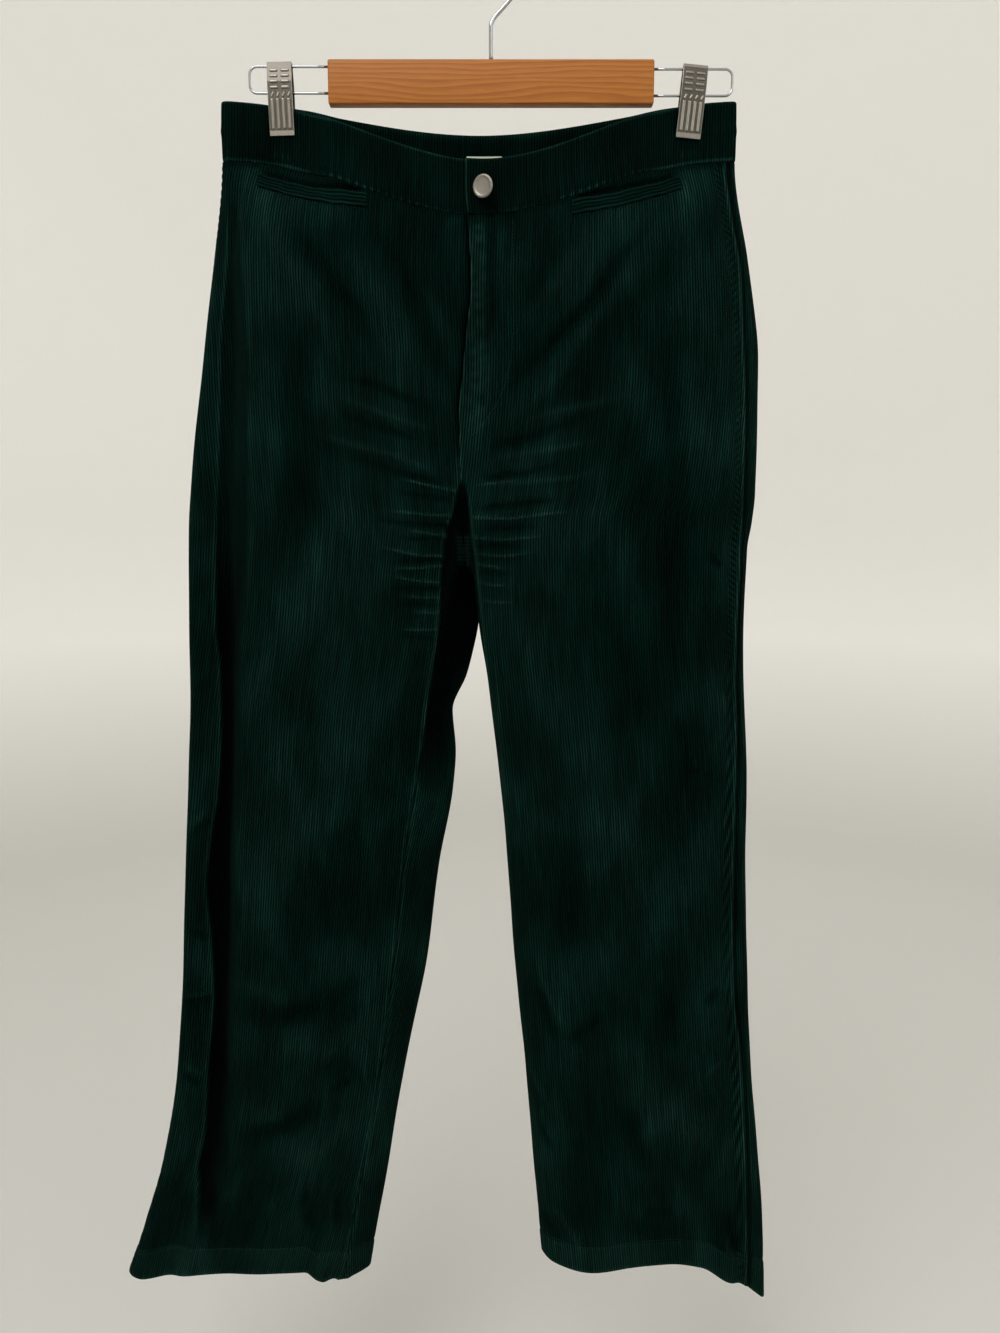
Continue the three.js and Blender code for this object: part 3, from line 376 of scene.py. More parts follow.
CENTRE = curves(["z", "frontX", "frontY", "backX", "backY"], [
    [-120, -21, -27, -8, 12],
    [-145, -21, -28, -8, 14],
    [-169, -19.5, -30, -8, 18],
    [-245, -16.5, -34, -9, 28],
    [-288, -20, -35, -10, 29.5],
    [-330, -23.5, -35, -10.5, 31],
    [-375, -27, -34, -12, 31],
    [-421, -26.5, -32, -14, 30],
    [-444, -25.5, -29.5, -16, 28],
    [-460, -25.3, -19, -18, 25.5],
    [-478, -25.1, -4, -21.5, 19],
    [-493, -25, 5, -25, 5],
])
SECTION_COLUMNS = ["z", "outer", "roll", "valleyIn", "valleyF", "ridge", "ridgeF", "midF",
                   "foldX", "foldF", "ridgeB", "midB", "backX", "backB"]
SECTIONS = {
    "right": curves(SECTION_COLUMNS, [
        [-120, -226.5, 5, 20, -4.2, -195, -3.6, -16, -60, -26, 3.6, 9, -60, 11],
        [-145, -226.5, 5.2, 20, -4.4, -195, -4, -17, -60, -27, 4, 11, -60, 13],
        [-169, -227, 6, 20, -6.4, -200, -8, -22, -60, -29, 8, 15, -60, 18],
        [-245, -237, 9, 18, -13, -209, -21, -31, -60, -34, 19, 25, -60, 27],
        [-330, -250.5, 11, 28, -11, -206, -27, -33, -60, -35, 24, 29, -60, 30],
        [-444, -266.5, 11, 33, -7, -213, -25, -31, -45, -31, 25, 29, -45, 28],
        [-468, -268.8, 11, 33, -5, -215, -24, -30, -40, -29, 24, 29, -38, 26],
        [-493, -269.8, 10.5, 33, -4, -217, -23, -29, -43, -28, 23, 28, -34, 23],
        [-560, -272, 10, 32, -2, -221, -21, -27, -53, -25, 20, 25, -25, 17],
        [-638, -274, 10, 32, -1, -225, -19, -25, -76, -21.5, 18, 22, -46, 11],
        [-700, -278, 10, 33, -1, -227, -18, -23, -86, -20, 16, 20, -46, 12],
        [-780, -284, 10, 34, -1, -231, -17, -21, -99, -19, 15, 19, -62, 14],
        [-880, -291, 10, 34, -1, -236, -16, -20, -111, -18, 14, 18, -78, 14],
        [-980, -301, 10, 36, -1, -243, -16, -19, -124, -17, 14, 17, -98, 14],
        [-1083, -320.6, 9, 38, -3, -262, -15, -18, -142, -16, 13, 16, -116, 13],
        [-1137, -338, 8.5, 39, -5, -281, -15, -18, -153, -15.5, 12.5, 15.5, -126, 12.5],
        [-1195, -358, 8, 40, -8, -300, -14, -17, -163, -15, 12, 15, -137, 12],
    ]),
    "left": curves(SECTION_COLUMNS, [
        [-120, 206, 5, 17, -4.2, 180, -3.6, -16, 25, -26, 3.6, 9, 40, 11],
        [-145, 206.2, 5.2, 17, -4.4, 180, -4, -17, 25, -27, 4, 11, 40, 13],
        [-169, 206.5, 6, 16, -6.8, 184, -9, -22, 25, -31, 8, 15, 40, 18],
        [-245, 219, 9, 16, -14, 190, -22, -31, 22, -34, 19, 25, 40, 27],
        [-330, 231, 11, 20, -17, 198, -26, -33, 18, -35, 24, 29, 40, 30],
        [-444, 233.5, 11, 19, -17, 203, -25, -31, -5, -31, 24, 29, 22, 28],
        [-468, 231.5, 11, 19, -16, 202, -24, -30, -13, -28, 23.5, 28.5, 12, 26],
        [-493, 228, 10.5, 19, -15, 199, -23, -29, -11, -26, 22, 27, 2, 22],
        [-560, 227.6, 10, 18, -14, 198, -20, -26, -6, -23, 20, 24, 10, 18],
        [-638, 231, 10, 18, -13, 201, -18, -24, 6, -20, 18, 22, 20, 15],
        [-700, 235, 10, 18, -12, 205, -17, -23, 14, -19, 16, 20, 28, 15],
        [-780, 236.5, 10, 19, -11, 207, -16, -21, 24, -18, 15, 19, 36, 14],
        [-880, 241, 10, 21, -11, 211, -15, -20, 32, -17, 14, 18, 45, 14],
        [-980, 248, 10, 24, -11, 216, -15, -19, 42, -16, 14, 17, 55, 13],
        [-1083, 259.7, 9, 27, -11, 225, -15, -18, 50, -15, 13, 16, 63, 13],
        [-1137, 266, 8.5, 28, -11, 229, -14.5, -17.5, 54, -14.5, 12.5, 15.5, 68, 12.5],
        [-1195, 269.5, 8, 29, -10, 232, -14, -17, 60, -14, 12, 15, 73, 12],
    ]),
}
INSEAM_COLUMNS = ["z", "seamX", "seamY", "innerX", "innerY"]
INSEAMS = {
    "right": curves(INSEAM_COLUMNS, [
        [-493, -25, 5, -25, 13],
        [-507, -30, -2, -13, 13.5],
        [-525, -36, -8, -10.5, 11.5],
        [-545, -41.5, -14, -10.2, 10],
        [-562, -45, -17, -12.2, 8.5],
        [-584, -49, -19.5, -17, 6.5],
        [-606, -53, -20.5, -23, 5],
        [-638, -58, -20.5, -36, 1],
        [-676, -63.5, -19.5, -33.5, 1],
        [-708, -69, -19, -36, 1],
        [-780, -80.5, -18.5, -49.3, 0],
        [-880, -92, -17.5, -62.4, 0],
        [-980, -105, -17, -82.7, 0],
        [-1083, -124, -16, -100.6, 0],
        [-1195, -145, -15, -121, 0],
    ]),
    "left": curves(INSEAM_COLUMNS, [
        [-493, -25, 5, -17, -11],
        [-507, -22.5, 9, -16, -10.6],
        [-525, -11.5, 12, -15, -10],
        [-560, -6, 12.5, -11.5, -9],
        [-610, 1, 11, -4, -8],
        [-668, 10, 10, 3, -7],
        [-716, 15, 10, 8.5, -6],
        [-780, 21, 9, 14, -5],
        [-880, 29, 9, 21.7, -4],
        [-980, 39, 9, 31.5, -4],
        [-1083, 47, 9, 39.6, -3],
        [-1195, 56, 8, 48, -3],
    ]),
}
# The foot of each leg: the height of its edge at places across it
HEMS = {
    "right": curves(["x", "foot"], [
        [-358, -1199], [-343, -1204], [-308, -1198], [-253, -1191], [-182, -1191], [-171, -1200],
        [-165, -1202], [-155, -1198], [-144, -1199], [-121, -1194],
    ]),
    "left": curves(["x", "foot"], [
        [46, -1174], [58, -1181], [100, -1189], [133, -1185], [175, -1181], [203, -1185],
        [229, -1202], [248, -1210], [270, -1228],
    ]),
}
INWARD = {"right": 1, "left": -1}
# Cells between the named points of a section: the front's, then the back's
CELLS = {
    "right": ([12, 24, 24, 16, 22, 6, 7], [16, 22, 22, 8, 10]),
    "left": ([8, 9, 27, 27, 12, 18], [8, 5, 14, 22, 22, 12]),
}
GRAIN_POINT = {"right": (2, 9), "left": (3, 10)}  # the named points that the grain lines pass through
print("sections:", {side: sum(map(sum, cells)) for side, cells in CELLS.items()})


# %% [markdown]
# A section is a closed walk round one half of the trousers: from the front seam over the front,
# round the side fold and back along the seat. Points crowd together at the seams, because the
# cloth turns sharply there.

# %% One half's sections
def section_points(side, z):
    s = {name: read(z) for name, read in SECTIONS[side].items()}
    n = len(z)
    leg = z <= CROTCH
    inward = INWARD[side]
    point = lambda x, y: np.stack([np.broadcast_to(x, n), np.broadcast_to(y, n)], axis=-1).astype(float)
    fold = point(s["foldX"], s["foldF"])
    back = point(s["backX"], s["backB"])
    inseam = {name: read(z) for name, read in INSEAMS[side].items()}
    seam = np.where(leg[:, None], point(inseam["seamX"], inseam["seamY"]),
                    point(CENTRE["frontX"](z), CENTRE["frontY"](z)))
    end = np.where(leg[:, None], seam, point(CENTRE["backX"](z), CENTRE["backY"](z)))
    walk = [
        fold,
        point((s["foldX"] + s["ridge"]) / 2, s["midF"]),
        point(s["ridge"], s["ridgeF"]),
        point(s["outer"] + inward * s["valleyIn"], s["valleyF"]),
        point(s["outer"] + inward * 0.5 * s["roll"], -0.87 * s["roll"]),
        point(s["outer"], 0),
        point(s["outer"] + inward * 0.5 * s["roll"], 0.87 * s["roll"]),
        point(s["ridge"], s["ridgeB"]),
        point((s["backX"] + s["ridge"]) / 2, s["midB"]),
        back,
    ]
    inner = point(inseam["innerX"], inseam["innerY"])
    if side == "right":
        inner = np.where(leg[:, None], inner, (back + end) / 2)
        walk = [seam, *walk, inner, end]
    else:
        inner = np.where(leg[:, None], inner, (fold + seam) / 2)
        walk = [seam, inner, *walk, end]
    return np.stack(walk, axis=1)


def through(points, shares):
    """Smooth curves through rows of points. shares says, for each stretch, where each cell ends."""
    before = 2 * points[:, :1] - points[:, 1:2]
    after = 2 * points[:, -1:] - points[:, -2:-1]
    padded = np.concatenate([before, points, after], axis=1)
    gaps = np.sqrt(np.linalg.norm(np.diff(padded, axis=1), axis=2))
    gaps = np.maximum(gaps, 1e-4)[..., None]
    drawn = [points[:, :1]]
    for k, places in enumerate(shares):
        p0, p1, p2, p3 = (padded[:, k + i] for i in range(4))
        d0, d1, d2 = (gaps[:, k + i] for i in range(3))
        t1 = ((p1 - p0) / d0 - (p2 - p0) / (d0 + d1) + (p2 - p1) / d1) * d1
        t2 = ((p2 - p1) / d1 - (p3 - p1) / (d1 + d2) + (p3 - p2) / d2) * d1
        for t in places:
            drawn.append((p1 + t1 * t + (-3 * p1 + 3 * p2 - 2 * t1 - t2) * t ** 2
                          + (2 * p1 - 2 * p2 + t1 + t2) * t ** 3)[:, None])
    return np.concatenate(drawn, axis=1)


def cell_ends(count, crowd=""):
    """Where each cell of a stretch ends, crowded towards its start or its end."""
    t = np.arange(1, count + 1) / count
    if crowd == "start":
        return t ** 1.7
    if crowd == "end":
        return 1 - (1 - t) ** 1.7
    return t


def stretches(side):
    front, back = CELLS[side]
    ends = [cell_ends(count) for count in [*front, *back]]
    ends[0] = cell_ends(front[0], "start")
    ends[len(front) - 1] = cell_ends(front[-1], "end")
    ends[len(front)] = cell_ends(back[0], "start")
    ends[-1] = cell_ends(back[-1], "end")
    return ends


def drop(shape, x):
    depth, power = shape
    away = np.minimum(1, np.abs(x - WAIST_MIDDLE) / WAIST_HALF)
    return depth * np.cos(away * math.pi / 2) ** power


CLIP_X = {"right": -175.4, "left": 166.6}


def pinched(points, level):
    """The clips press the front and the back of the waist together."""
    for x in CLIP_X.values():
        across = 1 - smooth((np.abs(points[..., 0] - x) - 13.5) / 36)
        down = 1 - smooth((-152 - level) / (-152 + 205))
        share = across * down[:, None]
        points[..., 1] += (np.sign(points[..., 1]) * 3.5 - points[..., 1]) * share
    return points


def levels():
    """Row heights down the panels, closer together under the waistband and at the hem."""
    top = np.arange(BAND_SEAM, -232, -1.5)
    middle = np.concatenate([np.arange(-232, -426, -3.0), np.arange(-427, -590, -1.5),
                             np.linspace(-591.5, HEM_FOOT + HEM_HEIGHT + 4, 134)])
    hem = np.array([3.0, 2.0, 1.2, 0.5, -0.4, -1.2, -2.2, -4, -6.5, -9.5, -12.5, -15.5, -18.5, -21.5, -24,
                    -25.6, -26.5])
    return np.concatenate([top, middle, HEM_FOOT + HEM_HEIGHT + hem, [HEM_FOOT]])


def outward_of(points, side, closed_from):
    """Unit directions out of the cloth at the points of a grid."""
    across = np.gradient(points, axis=1)
    # Below the crotch a row closes on itself
    across[closed_from:, 0] = across[closed_from:, -1] = points[closed_from:, 1] - points[closed_from:, -2]
    down = np.gradient(points, axis=0)
    out = np.cross(across, down) * INWARD[side]
    return out / np.maximum(np.linalg.norm(out, axis=2, keepdims=True), 1e-9)


LEVELS = levels()
print("rows down a panel:", len(LEVELS))

# %% [markdown]
# ## Creases
# Folds, drag lines and seam puckers are listed one by one, as a pattern of soft ridges and troughs.
# Each line in the tables gives its height in millimetres, negative for a trough, its half width,
# and the points it runs through. Lines fade at both ends. The hidden back gets lines of the same
# kind, uneven in the same way, because a garment creases all round.

# %% Large folds: from, to, reach, height
FOLDS = {
    ("right", "front"): [
        ((-196, -205), (-118, -300), 20, 3), ((-178, -215), (-80, -345), 18, -2.5),
        ((-120, -455), (-45, -425), 22, 3), ((-130, -520), (-48, -520), 22, 3),
        ((-262, -960), (-150, -1130), 26, -3.5), ((-215, -905), (-125, -1030), 24, 3),
    ],
    ("left", "front"): [
        ((172, -205), (95, -310), 20, 3), ((70, -455), (0, -425), 22, 3), ((80, -525), (-2, -525), 22, 3),
        ((215, -1000), (120, -1120), 26, 3.5), ((48, -1000), (92, -1085), 20, -3.5),
        ((235, -1120), (205, -1175), 20, -4),
    ],
    ("right", "back"): [
        ((-225, -330), (-60, -470), 26, -5), ((-215, -455), (-50, -535), 24, 4.5),
        ((-255, -640), (-250, -1100), 26, -6), ((-150, -900), (-240, -1060), 28, 4),
    ],
    ("left", "back"): [
        ((200, -340), (30, -475), 26, -5), ((195, -460), (30, -540), 24, 4.5),
        ((205, -600), (215, -1050), 26, -5), ((90, -920), (180, -1070), 28, 4),
    ],
}
print("folds:", sum(len(rows) for rows in FOLDS.values()))

# %% Crease tables: height, half width, points
CREASES = {
    ("right", "front"): [
        (2.2, 11, [(-190, -205), (-180, -236), (-168, -260), (-151, -282), (-138, -305), (-127, -334)]),
        (-2.8, 10, [(-175, -206), (-161, -233), (-144, -254), (-129, -279), (-110, -297), (-97, -330)]),
        (-2.4, 10, [(-112, -222), (-93, -237), (-76, -259), (-62, -297), (-49, -324), (-37, -349),
                    (-30, -372)]),
        (1.4, 13, [(-122, -240), (-94, -283), (-77, -311), (-59, -345)]),
        (1.4, 8, [(-64, -265), (-46, -293), (-33, -322)]),
        (-1.2, 6, [(-146, -348), (-100, -354), (-70, -367), (-39, -382)]),
        (1.8, 6, [(-142, -360), (-100, -375), (-73, -385), (-40, -395)]),
        (-1.8, 5, [(-136, -375), (-107, -386), (-81, -394), (-58, -402)]),
        (1.7, 6, [(-168, -388), (-119, -404), (-81, -413), (-59, -422), (-34, -434)]),
        (-1.8, 5, [(-130, -413), (-101, -419), (-75, -429), (-38, -438)]),
        (1.6, 3.4, [(-82, -431), (-57, -437), (-29, -443)]),
        (-1.5, 4.5, [(-88, -442), (-57, -448), (-30, -451)]),
        (1.4, 3.5, [(-98, -458), (-63, -462), (-34, -464)]),
        (-1.8, 4, [(-104, -466), (-70, -471), (-36, -473)]),
        (1.3, 3.2, [(-76, -475), (-51, -479), (-35, -481)]),
        (-1.0, 3, [(-84, -483), (-38, -485)]),
        (1.5, 3.5, [(-101, -489), (-63, -497), (-40, -498)]),
        (-1.4, 3.2, [(-90, -503), (-41, -502)]),
        (1.2, 3.2, [(-94, -509), (-62, -508), (-42, -506)]),
        (1.4, 3.2, [(-92, -514), (-62, -519), (-44, -521)]),
        (-1.3, 3.4, [(-92, -525), (-45, -527)]),
        (1.2, 3.2, [(-89, -532), (-45, -534)]),
        (-0.9, 3, [(-83, -540), (-46, -541)]),
        (1.1, 3, [(-74, -546), (-46, -547)]),
        (1.2, 3.2, [(-86, -562), (-48, -562)]),
        (-0.9, 3, [(-85, -569), (-49, -570)]),
        (-1.4, 22, [(-158, -270), (-161, -384), (-172, -520)]),
        (-2.6, 12, [(-240, -932), (-194, -927), (-156, -918), (-112, -878)]),
        (1.9, 13, [(-243, -893), (-214, -900), (-184, -914)]),
        (2.4, 12, [(-200, -1004), (-152, -958), (-108, -920)]),
        (-2.0, 5, [(-160, -1002), (-143, -994), (-130, -987)]),
        (-2.8, 15, [(-252, -1053), (-197, -1041), (-158, -1008)]),
        (2.4, 14, [(-212, -1092), (-152, -1051), (-122, -1010)]),
        (1.4, 5, [(-121, -966), (-118, -1000)]),
        (1.4, 3, [(-153, -1104), (-155, -1124), (-157, -1145)]),
        (-1.6, 5, [(-147, -1102), (-150, -1145)]),
        (-2.0, 10, [(-180, -1100), (-174, -1150)]),
        (1.4, 4, [(-139, -1112), (-110, -1152)]),
        (-1.4, 5, [(-141, -1124), (-116, -1155)]),
        (1.2, 4, [(-63, -664), (-57, -618)]),
        (-2.0, 4.5, [(-294, -917), (-262, -916)]),
        (1.4, 3.5, [(-294, -910), (-262, -909)]),
        (1.3, 3.4, [(-298, -974), (-274, -996)]),
        (-1.6, 4.5, [(-297, -986), (-278, -1005)]),
        (-1.4, 6, [(-287, -842), (-262, -858)]),
        (1.4, 4, [(-278, -747), (-258, -726)]),
        (-1.5, 4, [(-279, -756), (-257, -739)]),
        (-1.2, 5, [(-270, -620), (-250, -610)]),
        (1.0, 30, [(-170, -640), (-190, -820)]),
        (-1.0, 26, [(-120, -690), (-150, -860)]),
    ],
    ("left", "front"): [
        (-3.4, 9, [(140, -206), (128, -229), (108, -250), (95, -271), (82, -290), (57, -315), (41, -333),
                   (23, -349), (2, -374)]),
        (2.4, 9, [(150, -232), (127, -257), (105, -276), (93, -296), (76, -317), (63, -340), (46, -358),
                  (26, -377), (-6, -402)]),
        (1.4, 12, [(90, -222), (77, -239), (57, -271), (32, -301), (12, -323)]),
        (1.5, 7, [(130, -361), (83, -371), (45, -379), (15, -391)]),
        (-1.7, 6, [(96, -378), (58, -389), (33, -399), (-10, -407)]),
        (1.4, 6, [(106, -397), (58, -407), (24, -412), (-10, -418)]),
        (-1.8, 5, [(66, -417), (33, -427), (-12, -434)]),
        (1.5, 5, [(106, -421), (67, -432), (16, -437), (-17, -440)]),
        (1.2, 2.4, [(-20, -439), (18, -434)]),
        (-2.0, 5, [(66, -449), (25, -454), (-17, -459)]),
        (1.8, 4, [(80, -459), (47, -462), (16, -466), (-18, -465)]),
        (-1.4, 4.5, [(54, -471), (12, -475), (-16, -474)]),
        (1.4, 3.2, [(54, -479), (35, -482), (9, -484), (-16, -482)]),
        (-1.2, 3.5, [(33, -490), (-14, -490)]),
        (1.3, 3.2, [(42, -494), (11, -498), (-14, -496)]),
        (1.1, 2.8, [(16, -509), (-13, -505)]),
        (-1.0, 3, [(24, -514), (-12, -512)]),
        (1.0, 3, [(20, -524), (-11, -522)]),
        (0.9, 3, [(26, -539), (-8, -537)]),
        (1.0, 4, [(1, -530), (3, -580), (7, -643), (11, -698), (18, -770)]),
        (-1.8, 14, [(147, -300), (156, -409), (163, -510)]),
        (1.8, 2.8, [(165, -211), (161, -183)]),
        (2.2, 4, [(40, -862), (50, -899), (61, -922), (72, -948)]),
        (-2.2, 6, [(39, -890), (50, -922), (63, -953)]),
        (-2.3, 7, [(110, -919), (88, -936), (70, -953)]),
        (1.9, 4, [(32, -966), (45, -1000), (60, -1030)]),
        (-1.5, 5, [(40, -1024), (58, -1066)]),
        (2.1, 4, [(42, -1111), (65, -1127), (90, -1173)]),
        (-2.0, 6, [(44, -1125), (68, -1160)]),
        (2.4, 15, [(221, -962), (186, -997), (160, -1029), (124, -1064)]),
        (1.4, 4, [(220, -966), (200, -986)]),
        (-2.4, 13, [(128, -1012), (135, -1051), (151, -1086)]),
        (1.7, 9, [(228, -1040), (216, -1096)]),
        (-2.2, 9, [(164, -893), (167, -928), (171, -962)]),
        (-3.8, 7, [(226, -1131), (232, -1154), (238, -1176)]),
        (2.0, 4, [(225, -1150), (232, -1175)]),
        (-1.9, 7, [(142, -1127), (178, -1127)]),
        (-2.4, 5, [(165, -638), (172, -666), (180, -688)]),
        (2.0, 3.5, [(172, -656), (178, -673), (186, -693)]),
        (-1.9, 5, [(174, -689), (201, -697)]),
        (1.3, 3, [(173, -700), (176, -742)]),
        (-2.2, 16, [(153, -440), (155, -537), (161, -640)]),
        (1.7, 8, [(173, -490), (175, -572), (178, -636)]),
        (1.5, 5, [(204, -616), (212, -646)]),
        (-1.7, 6, [(184, -495), (203, -509)]),
        (-1.4, 8, [(213, -896), (198, -917)]),
        (1.0, 30, [(120, -640), (130, -860)]),
        (-1.0, 26, [(60, -700), (80, -880)]),
    ],
    ("right", "back"): [
        (-3.2, 12, [(-215, -262), (-160, -322), (-96, -372), (-40, -398)]),
        (2.4, 11, [(-216, -300), (-150, -356), (-86, -402), (-30, -424)]),
        (-2.6, 8, [(-205, -372), (-140, -414), (-84, -440), (-34, -452)]),
        (2.0, 7, [(-190, -404), (-130, -438), (-80, -458), (-30, -468)]),
        (-2.2, 6, [(-176, -446), (-120, -470), (-70, -482), (-32, -488)]),
        (2.0, 6, [(-170, -470), (-110, -490), (-64, -498), (-36, -502)]),
        (-1.8, 5, [(-150, -504), (-96, -514), (-44, -516)]),
        (1.6, 5, [(-140, -524), (-90, -532), (-40, -534)]),
        (-1.5, 5, [(-120, -546), (-50, -552)]),
        (2.2, 10, [(-120, -215), (-104, -262), (-84, -300)]),
        (-2.0, 9, [(-96, -215), (-84, -256), (-62, -292)]),
        (1.6, 12, [(-180, -214), (-176, -262), (-160, -300)]),
        (-2.4, 12, [(-250, -700), (-190, -742), (-120, -760)]),
        (2.2, 10, [(-240, -736), (-180, -772), (-110, -786)]),
        (-1.8, 7, [(-170, -800), (-110, -820)]),
        (-2.6, 13, [(-262, -930), (-200, -968), (-130, -1010)]),
        (2.4, 12, [(-270, -970), (-205, -1006), (-140, -1046)]),
        (-2.0, 9, [(-290, -1040), (-232, -1082), (-170, -1096)]),
        (1.8, 6, [(-330, -1110), (-280, -1130), (-236, -1160)]),
        (-2.0, 7, [(-190, -1120), (-160, -1160)]),
    ],
    ("left", "back"): [
        (-3.0, 12, [(205, -270), (150, -318), (80, -372), (16, -402)]),
        (2.4, 10, [(206, -310), (148, -352), (84, -398), (18, -428)]),
        (-2.4, 8, [(196, -366), (130, -410), (70, -438), (14, -456)]),
        (2.0, 7, [(186, -398), (120, -436), (64, -456), (10, -470)]),
        (-2.2, 6, [(164, -444), (104, -468), (50, -482), (6, -490)]),
        (1.9, 6, [(156, -470), (100, -488), (46, -498), (2, -504)]),
        (-1.7, 5, [(140, -502), (84, -512), (20, -518)]),
        (1.5, 5, [(130, -520), (76, -530), (18, -534)]),
        (2.0, 10, [(110, -214), (94, -258), (70, -296)]),
        (-1.9, 9, [(84, -216), (66, -254), (48, -286)]),
        (1.5, 12, [(166, -216), (160, -258), (148, -292)]),
        (-2.3, 12, [(214, -690), (150, -730), (70, -752)]),
        (2.1, 10, [(210, -724), (146, -762), (64, -780)]),
        (-1.8, 7, [(140, -792), (80, -812)]),
        (-2.5, 13, [(226, -920), (166, -962), (92, -1006)]),
        (2.3, 12, [(230, -960), (172, -1000), (100, -1042)]),
        (-2.1, 9, [(246, -1040), (190, -1078), (130, -1092)]),
        (1.8, 6, [(250, -1110), (212, -1136), (172, -1158)]),
        (-2.0, 7, [(120, -1110), (96, -1156)]),
    ],
}


# Broad patches where the pile lies lighter or darker: x, z, half sizes across and along, lean, strength
PATCHES = {
    ("right", "front"): [
        (-172, -264, 20, 60, -10, 0.12), (-119, -362, 34, 16, -20, 0.10), (-84, -320, 16, 50, -12, 0.08),
        (-128, -502, 40, 90, 0, 0.08), (-55, -249, 26, 56, -28, -0.22), (-135, -236, 34, 16, -8, -0.16),
        (-169, -554, 30, 90, 0, 0.06), (-207, -764, 30, 130, 4, 0.10), (-180, -953, 20, 46, -35, 0.16),
        (-197, -1049, 16, 50, -42, 0.14), (-214, -920, 34, 14, 8, -0.22), (-143, -978, 36, 12, 18, -0.20),
        (-137, -918, 20, 12, 25, -0.18), (-256, -1127, 34, 20, 0, -0.18), (-122, -973, 10, 60, 12, 0.10),
        (-128, -699, 26, 80, 6, 0.05), (-83, -755, 14, 60, 10, -0.12), (-64, -644, 14, 70, 6, -0.10),
        (-176, -840, 40, 40, 0, -0.08), (-83, -860, 10, 40, 10, 0.10),
    ],
    ("left", "front"): [
        (75, -253, 22, 50, 25, 0.12), (106, -297, 26, 46, 30, 0.08), (32, -408, 26, 70, 10, 0.10),
        (34, -572, 18, 80, 0, 0.12), (179, -391, 22, 70, 0, 0.08), (92, -320, 16, 90, 40, -0.18),
        (154, -502, 26, 80, -4, -0.20), (76, -755, 40, 70, 0, 0.08), (170, -1019, 18, 70, -48, 0.20),
        (46, -1091, 10, 70, -8, 0.14), (99, -1060, 24, 80, 0, -0.16), (164, -918, 10, 24, 0, -0.24),
        (178, -691, 16, 50, 0, -0.16), (141, -626, 22, 90, 0, -0.06), (105, -572, 20, 80, 0, -0.08),
        (191, -811, 20, 70, 0, 0.07), (220, -1159, 12, 26, 0, -0.20), (152, -1141, 34, 10, 0, -0.18),
        (45, -284, 20, 60, 20, -0.12), (60, -467, 30, 40, 0, 0.06),
    ],
    ("right", "back"): [
        (-150, -300, 34, 70, 20, 0.12), (-70, -360, 26, 60, 10, -0.14), (-190, -420, 30, 80, 0, -0.12),
        (-120, -560, 30, 90, 0, 0.10), (-210, -760, 26, 110, 0, 0.10), (-130, -830, 20, 80, 0, -0.12),
        (-250, -1010, 22, 70, 30, 0.12), (-180, -1110, 26, 50, -30, -0.14),
    ],
    ("left", "back"): [
        (140, -290, 30, 70, -20, 0.10), (60, -350, 24, 60, -10, -0.12), (180, -430, 26, 80, 0, 0.08),
        (110, -570, 30, 100, 0, -0.12), (60, -720, 24, 110, 0, 0.10), (180, -850, 24, 90, 0, -0.10),
        (120, -1000, 26, 70, 24, 0.12), (200, -1110, 24, 50, 30, -0.12),
    ],
}


def broad_patches(side, face, x, z):
    """The soft lighter and darker patches of the pile."""
    total = np.zeros_like(x)
    for x0, z0, wide, tall, lean, strength in PATCHES[side, face]:
        turn = math.radians(lean)
        across = (x - x0) * math.cos(turn) - (z - z0) * math.sin(turn)
        along = (x - x0) * math.sin(turn) + (z - z0) * math.cos(turn)
        total += strength * np.exp(-(across / wide) ** 2 - (along / tall) ** 2)
    return total


def crease_relief(side, face, x, z):
    """How far the folds and creases lift each point, in millimetres, and how much they rub its pile pale or
    darken it with painted shade.
    """
    lifted = np.zeros_like(x)
    rubbed_and_painted_light = np.zeros_like(x)
    for (x0, z0), (x1, z1), reach, height in FOLDS[side, face]:
        run = math.hypot(x1 - x0, z1 - z0)
        t = np.clip(((x - x0) * (x1 - x0) + (z - z0) * (z1 - z0)) / run ** 2, 0, 1)
        away = np.hypot(x - x0 - t * (x1 - x0), z - z0 - t * (z1 - z0))
        lifted += height * np.sin(math.pi * t) ** 0.7 * (1 - smooth(away / reach))
    for height, width, path in CREASES[side, face]:
        line = np.array(path, float)
        runs = np.linalg.norm(np.diff(line, axis=0), axis=1)
        starts = np.concatenate([[0], np.cumsum(runs)])
        best = np.full(x.shape, 1e9)
        place = np.zeros_like(x)
        for k, run in enumerate(runs):
            step = (line[k + 1] - line[k]) / run
            t = np.clip((x - line[k, 0]) * step[0] + (z - line[k, 1]) * step[1], 0, run)
            away = np.hypot(x - line[k, 0] - t * step[0], z - line[k, 1] - t * step[1])
            nearer = away < best
            best = np.where(nearer, away, best)
            place = np.where(nearer, starts[k] + t, place)
        t = place / starts[-1]
        # A crease swells and thins along its length, and fades out over its ends. The sharp ones
        # at the crotch run out at full strength at the edge of the leg.
        sharp = width <= 4 and -590 < path[-1][1] < -428 and len(path) < 5
        taper = smooth(t / 0.45) * smooth((1 - t) / (0.05 if sharp else 0.3))
        taper = taper * (1 + 0.22 * np.sin(9 * t + 3 * height))
        lifted += height * taper * np.exp(-(best / (0.62 * width)) ** 2)
        # The pile is rubbed pale along a ridge, and a trough is darkened with painted shade
        if height > 0:
            narrow = (0.24, 0.28 * width + 0.7) if width <= 7 else (0.10, 0.6 * width)
            pale, spread = (0.62, 0.9) if sharp else narrow
        else:
            pale, spread = -0.24, 0.55 * width
        rubbed_and_painted_light += taper * pale * abs(height) ** 0.5 * np.exp(-(best / spread) ** 2)
    return lifted, rubbed_and_painted_light


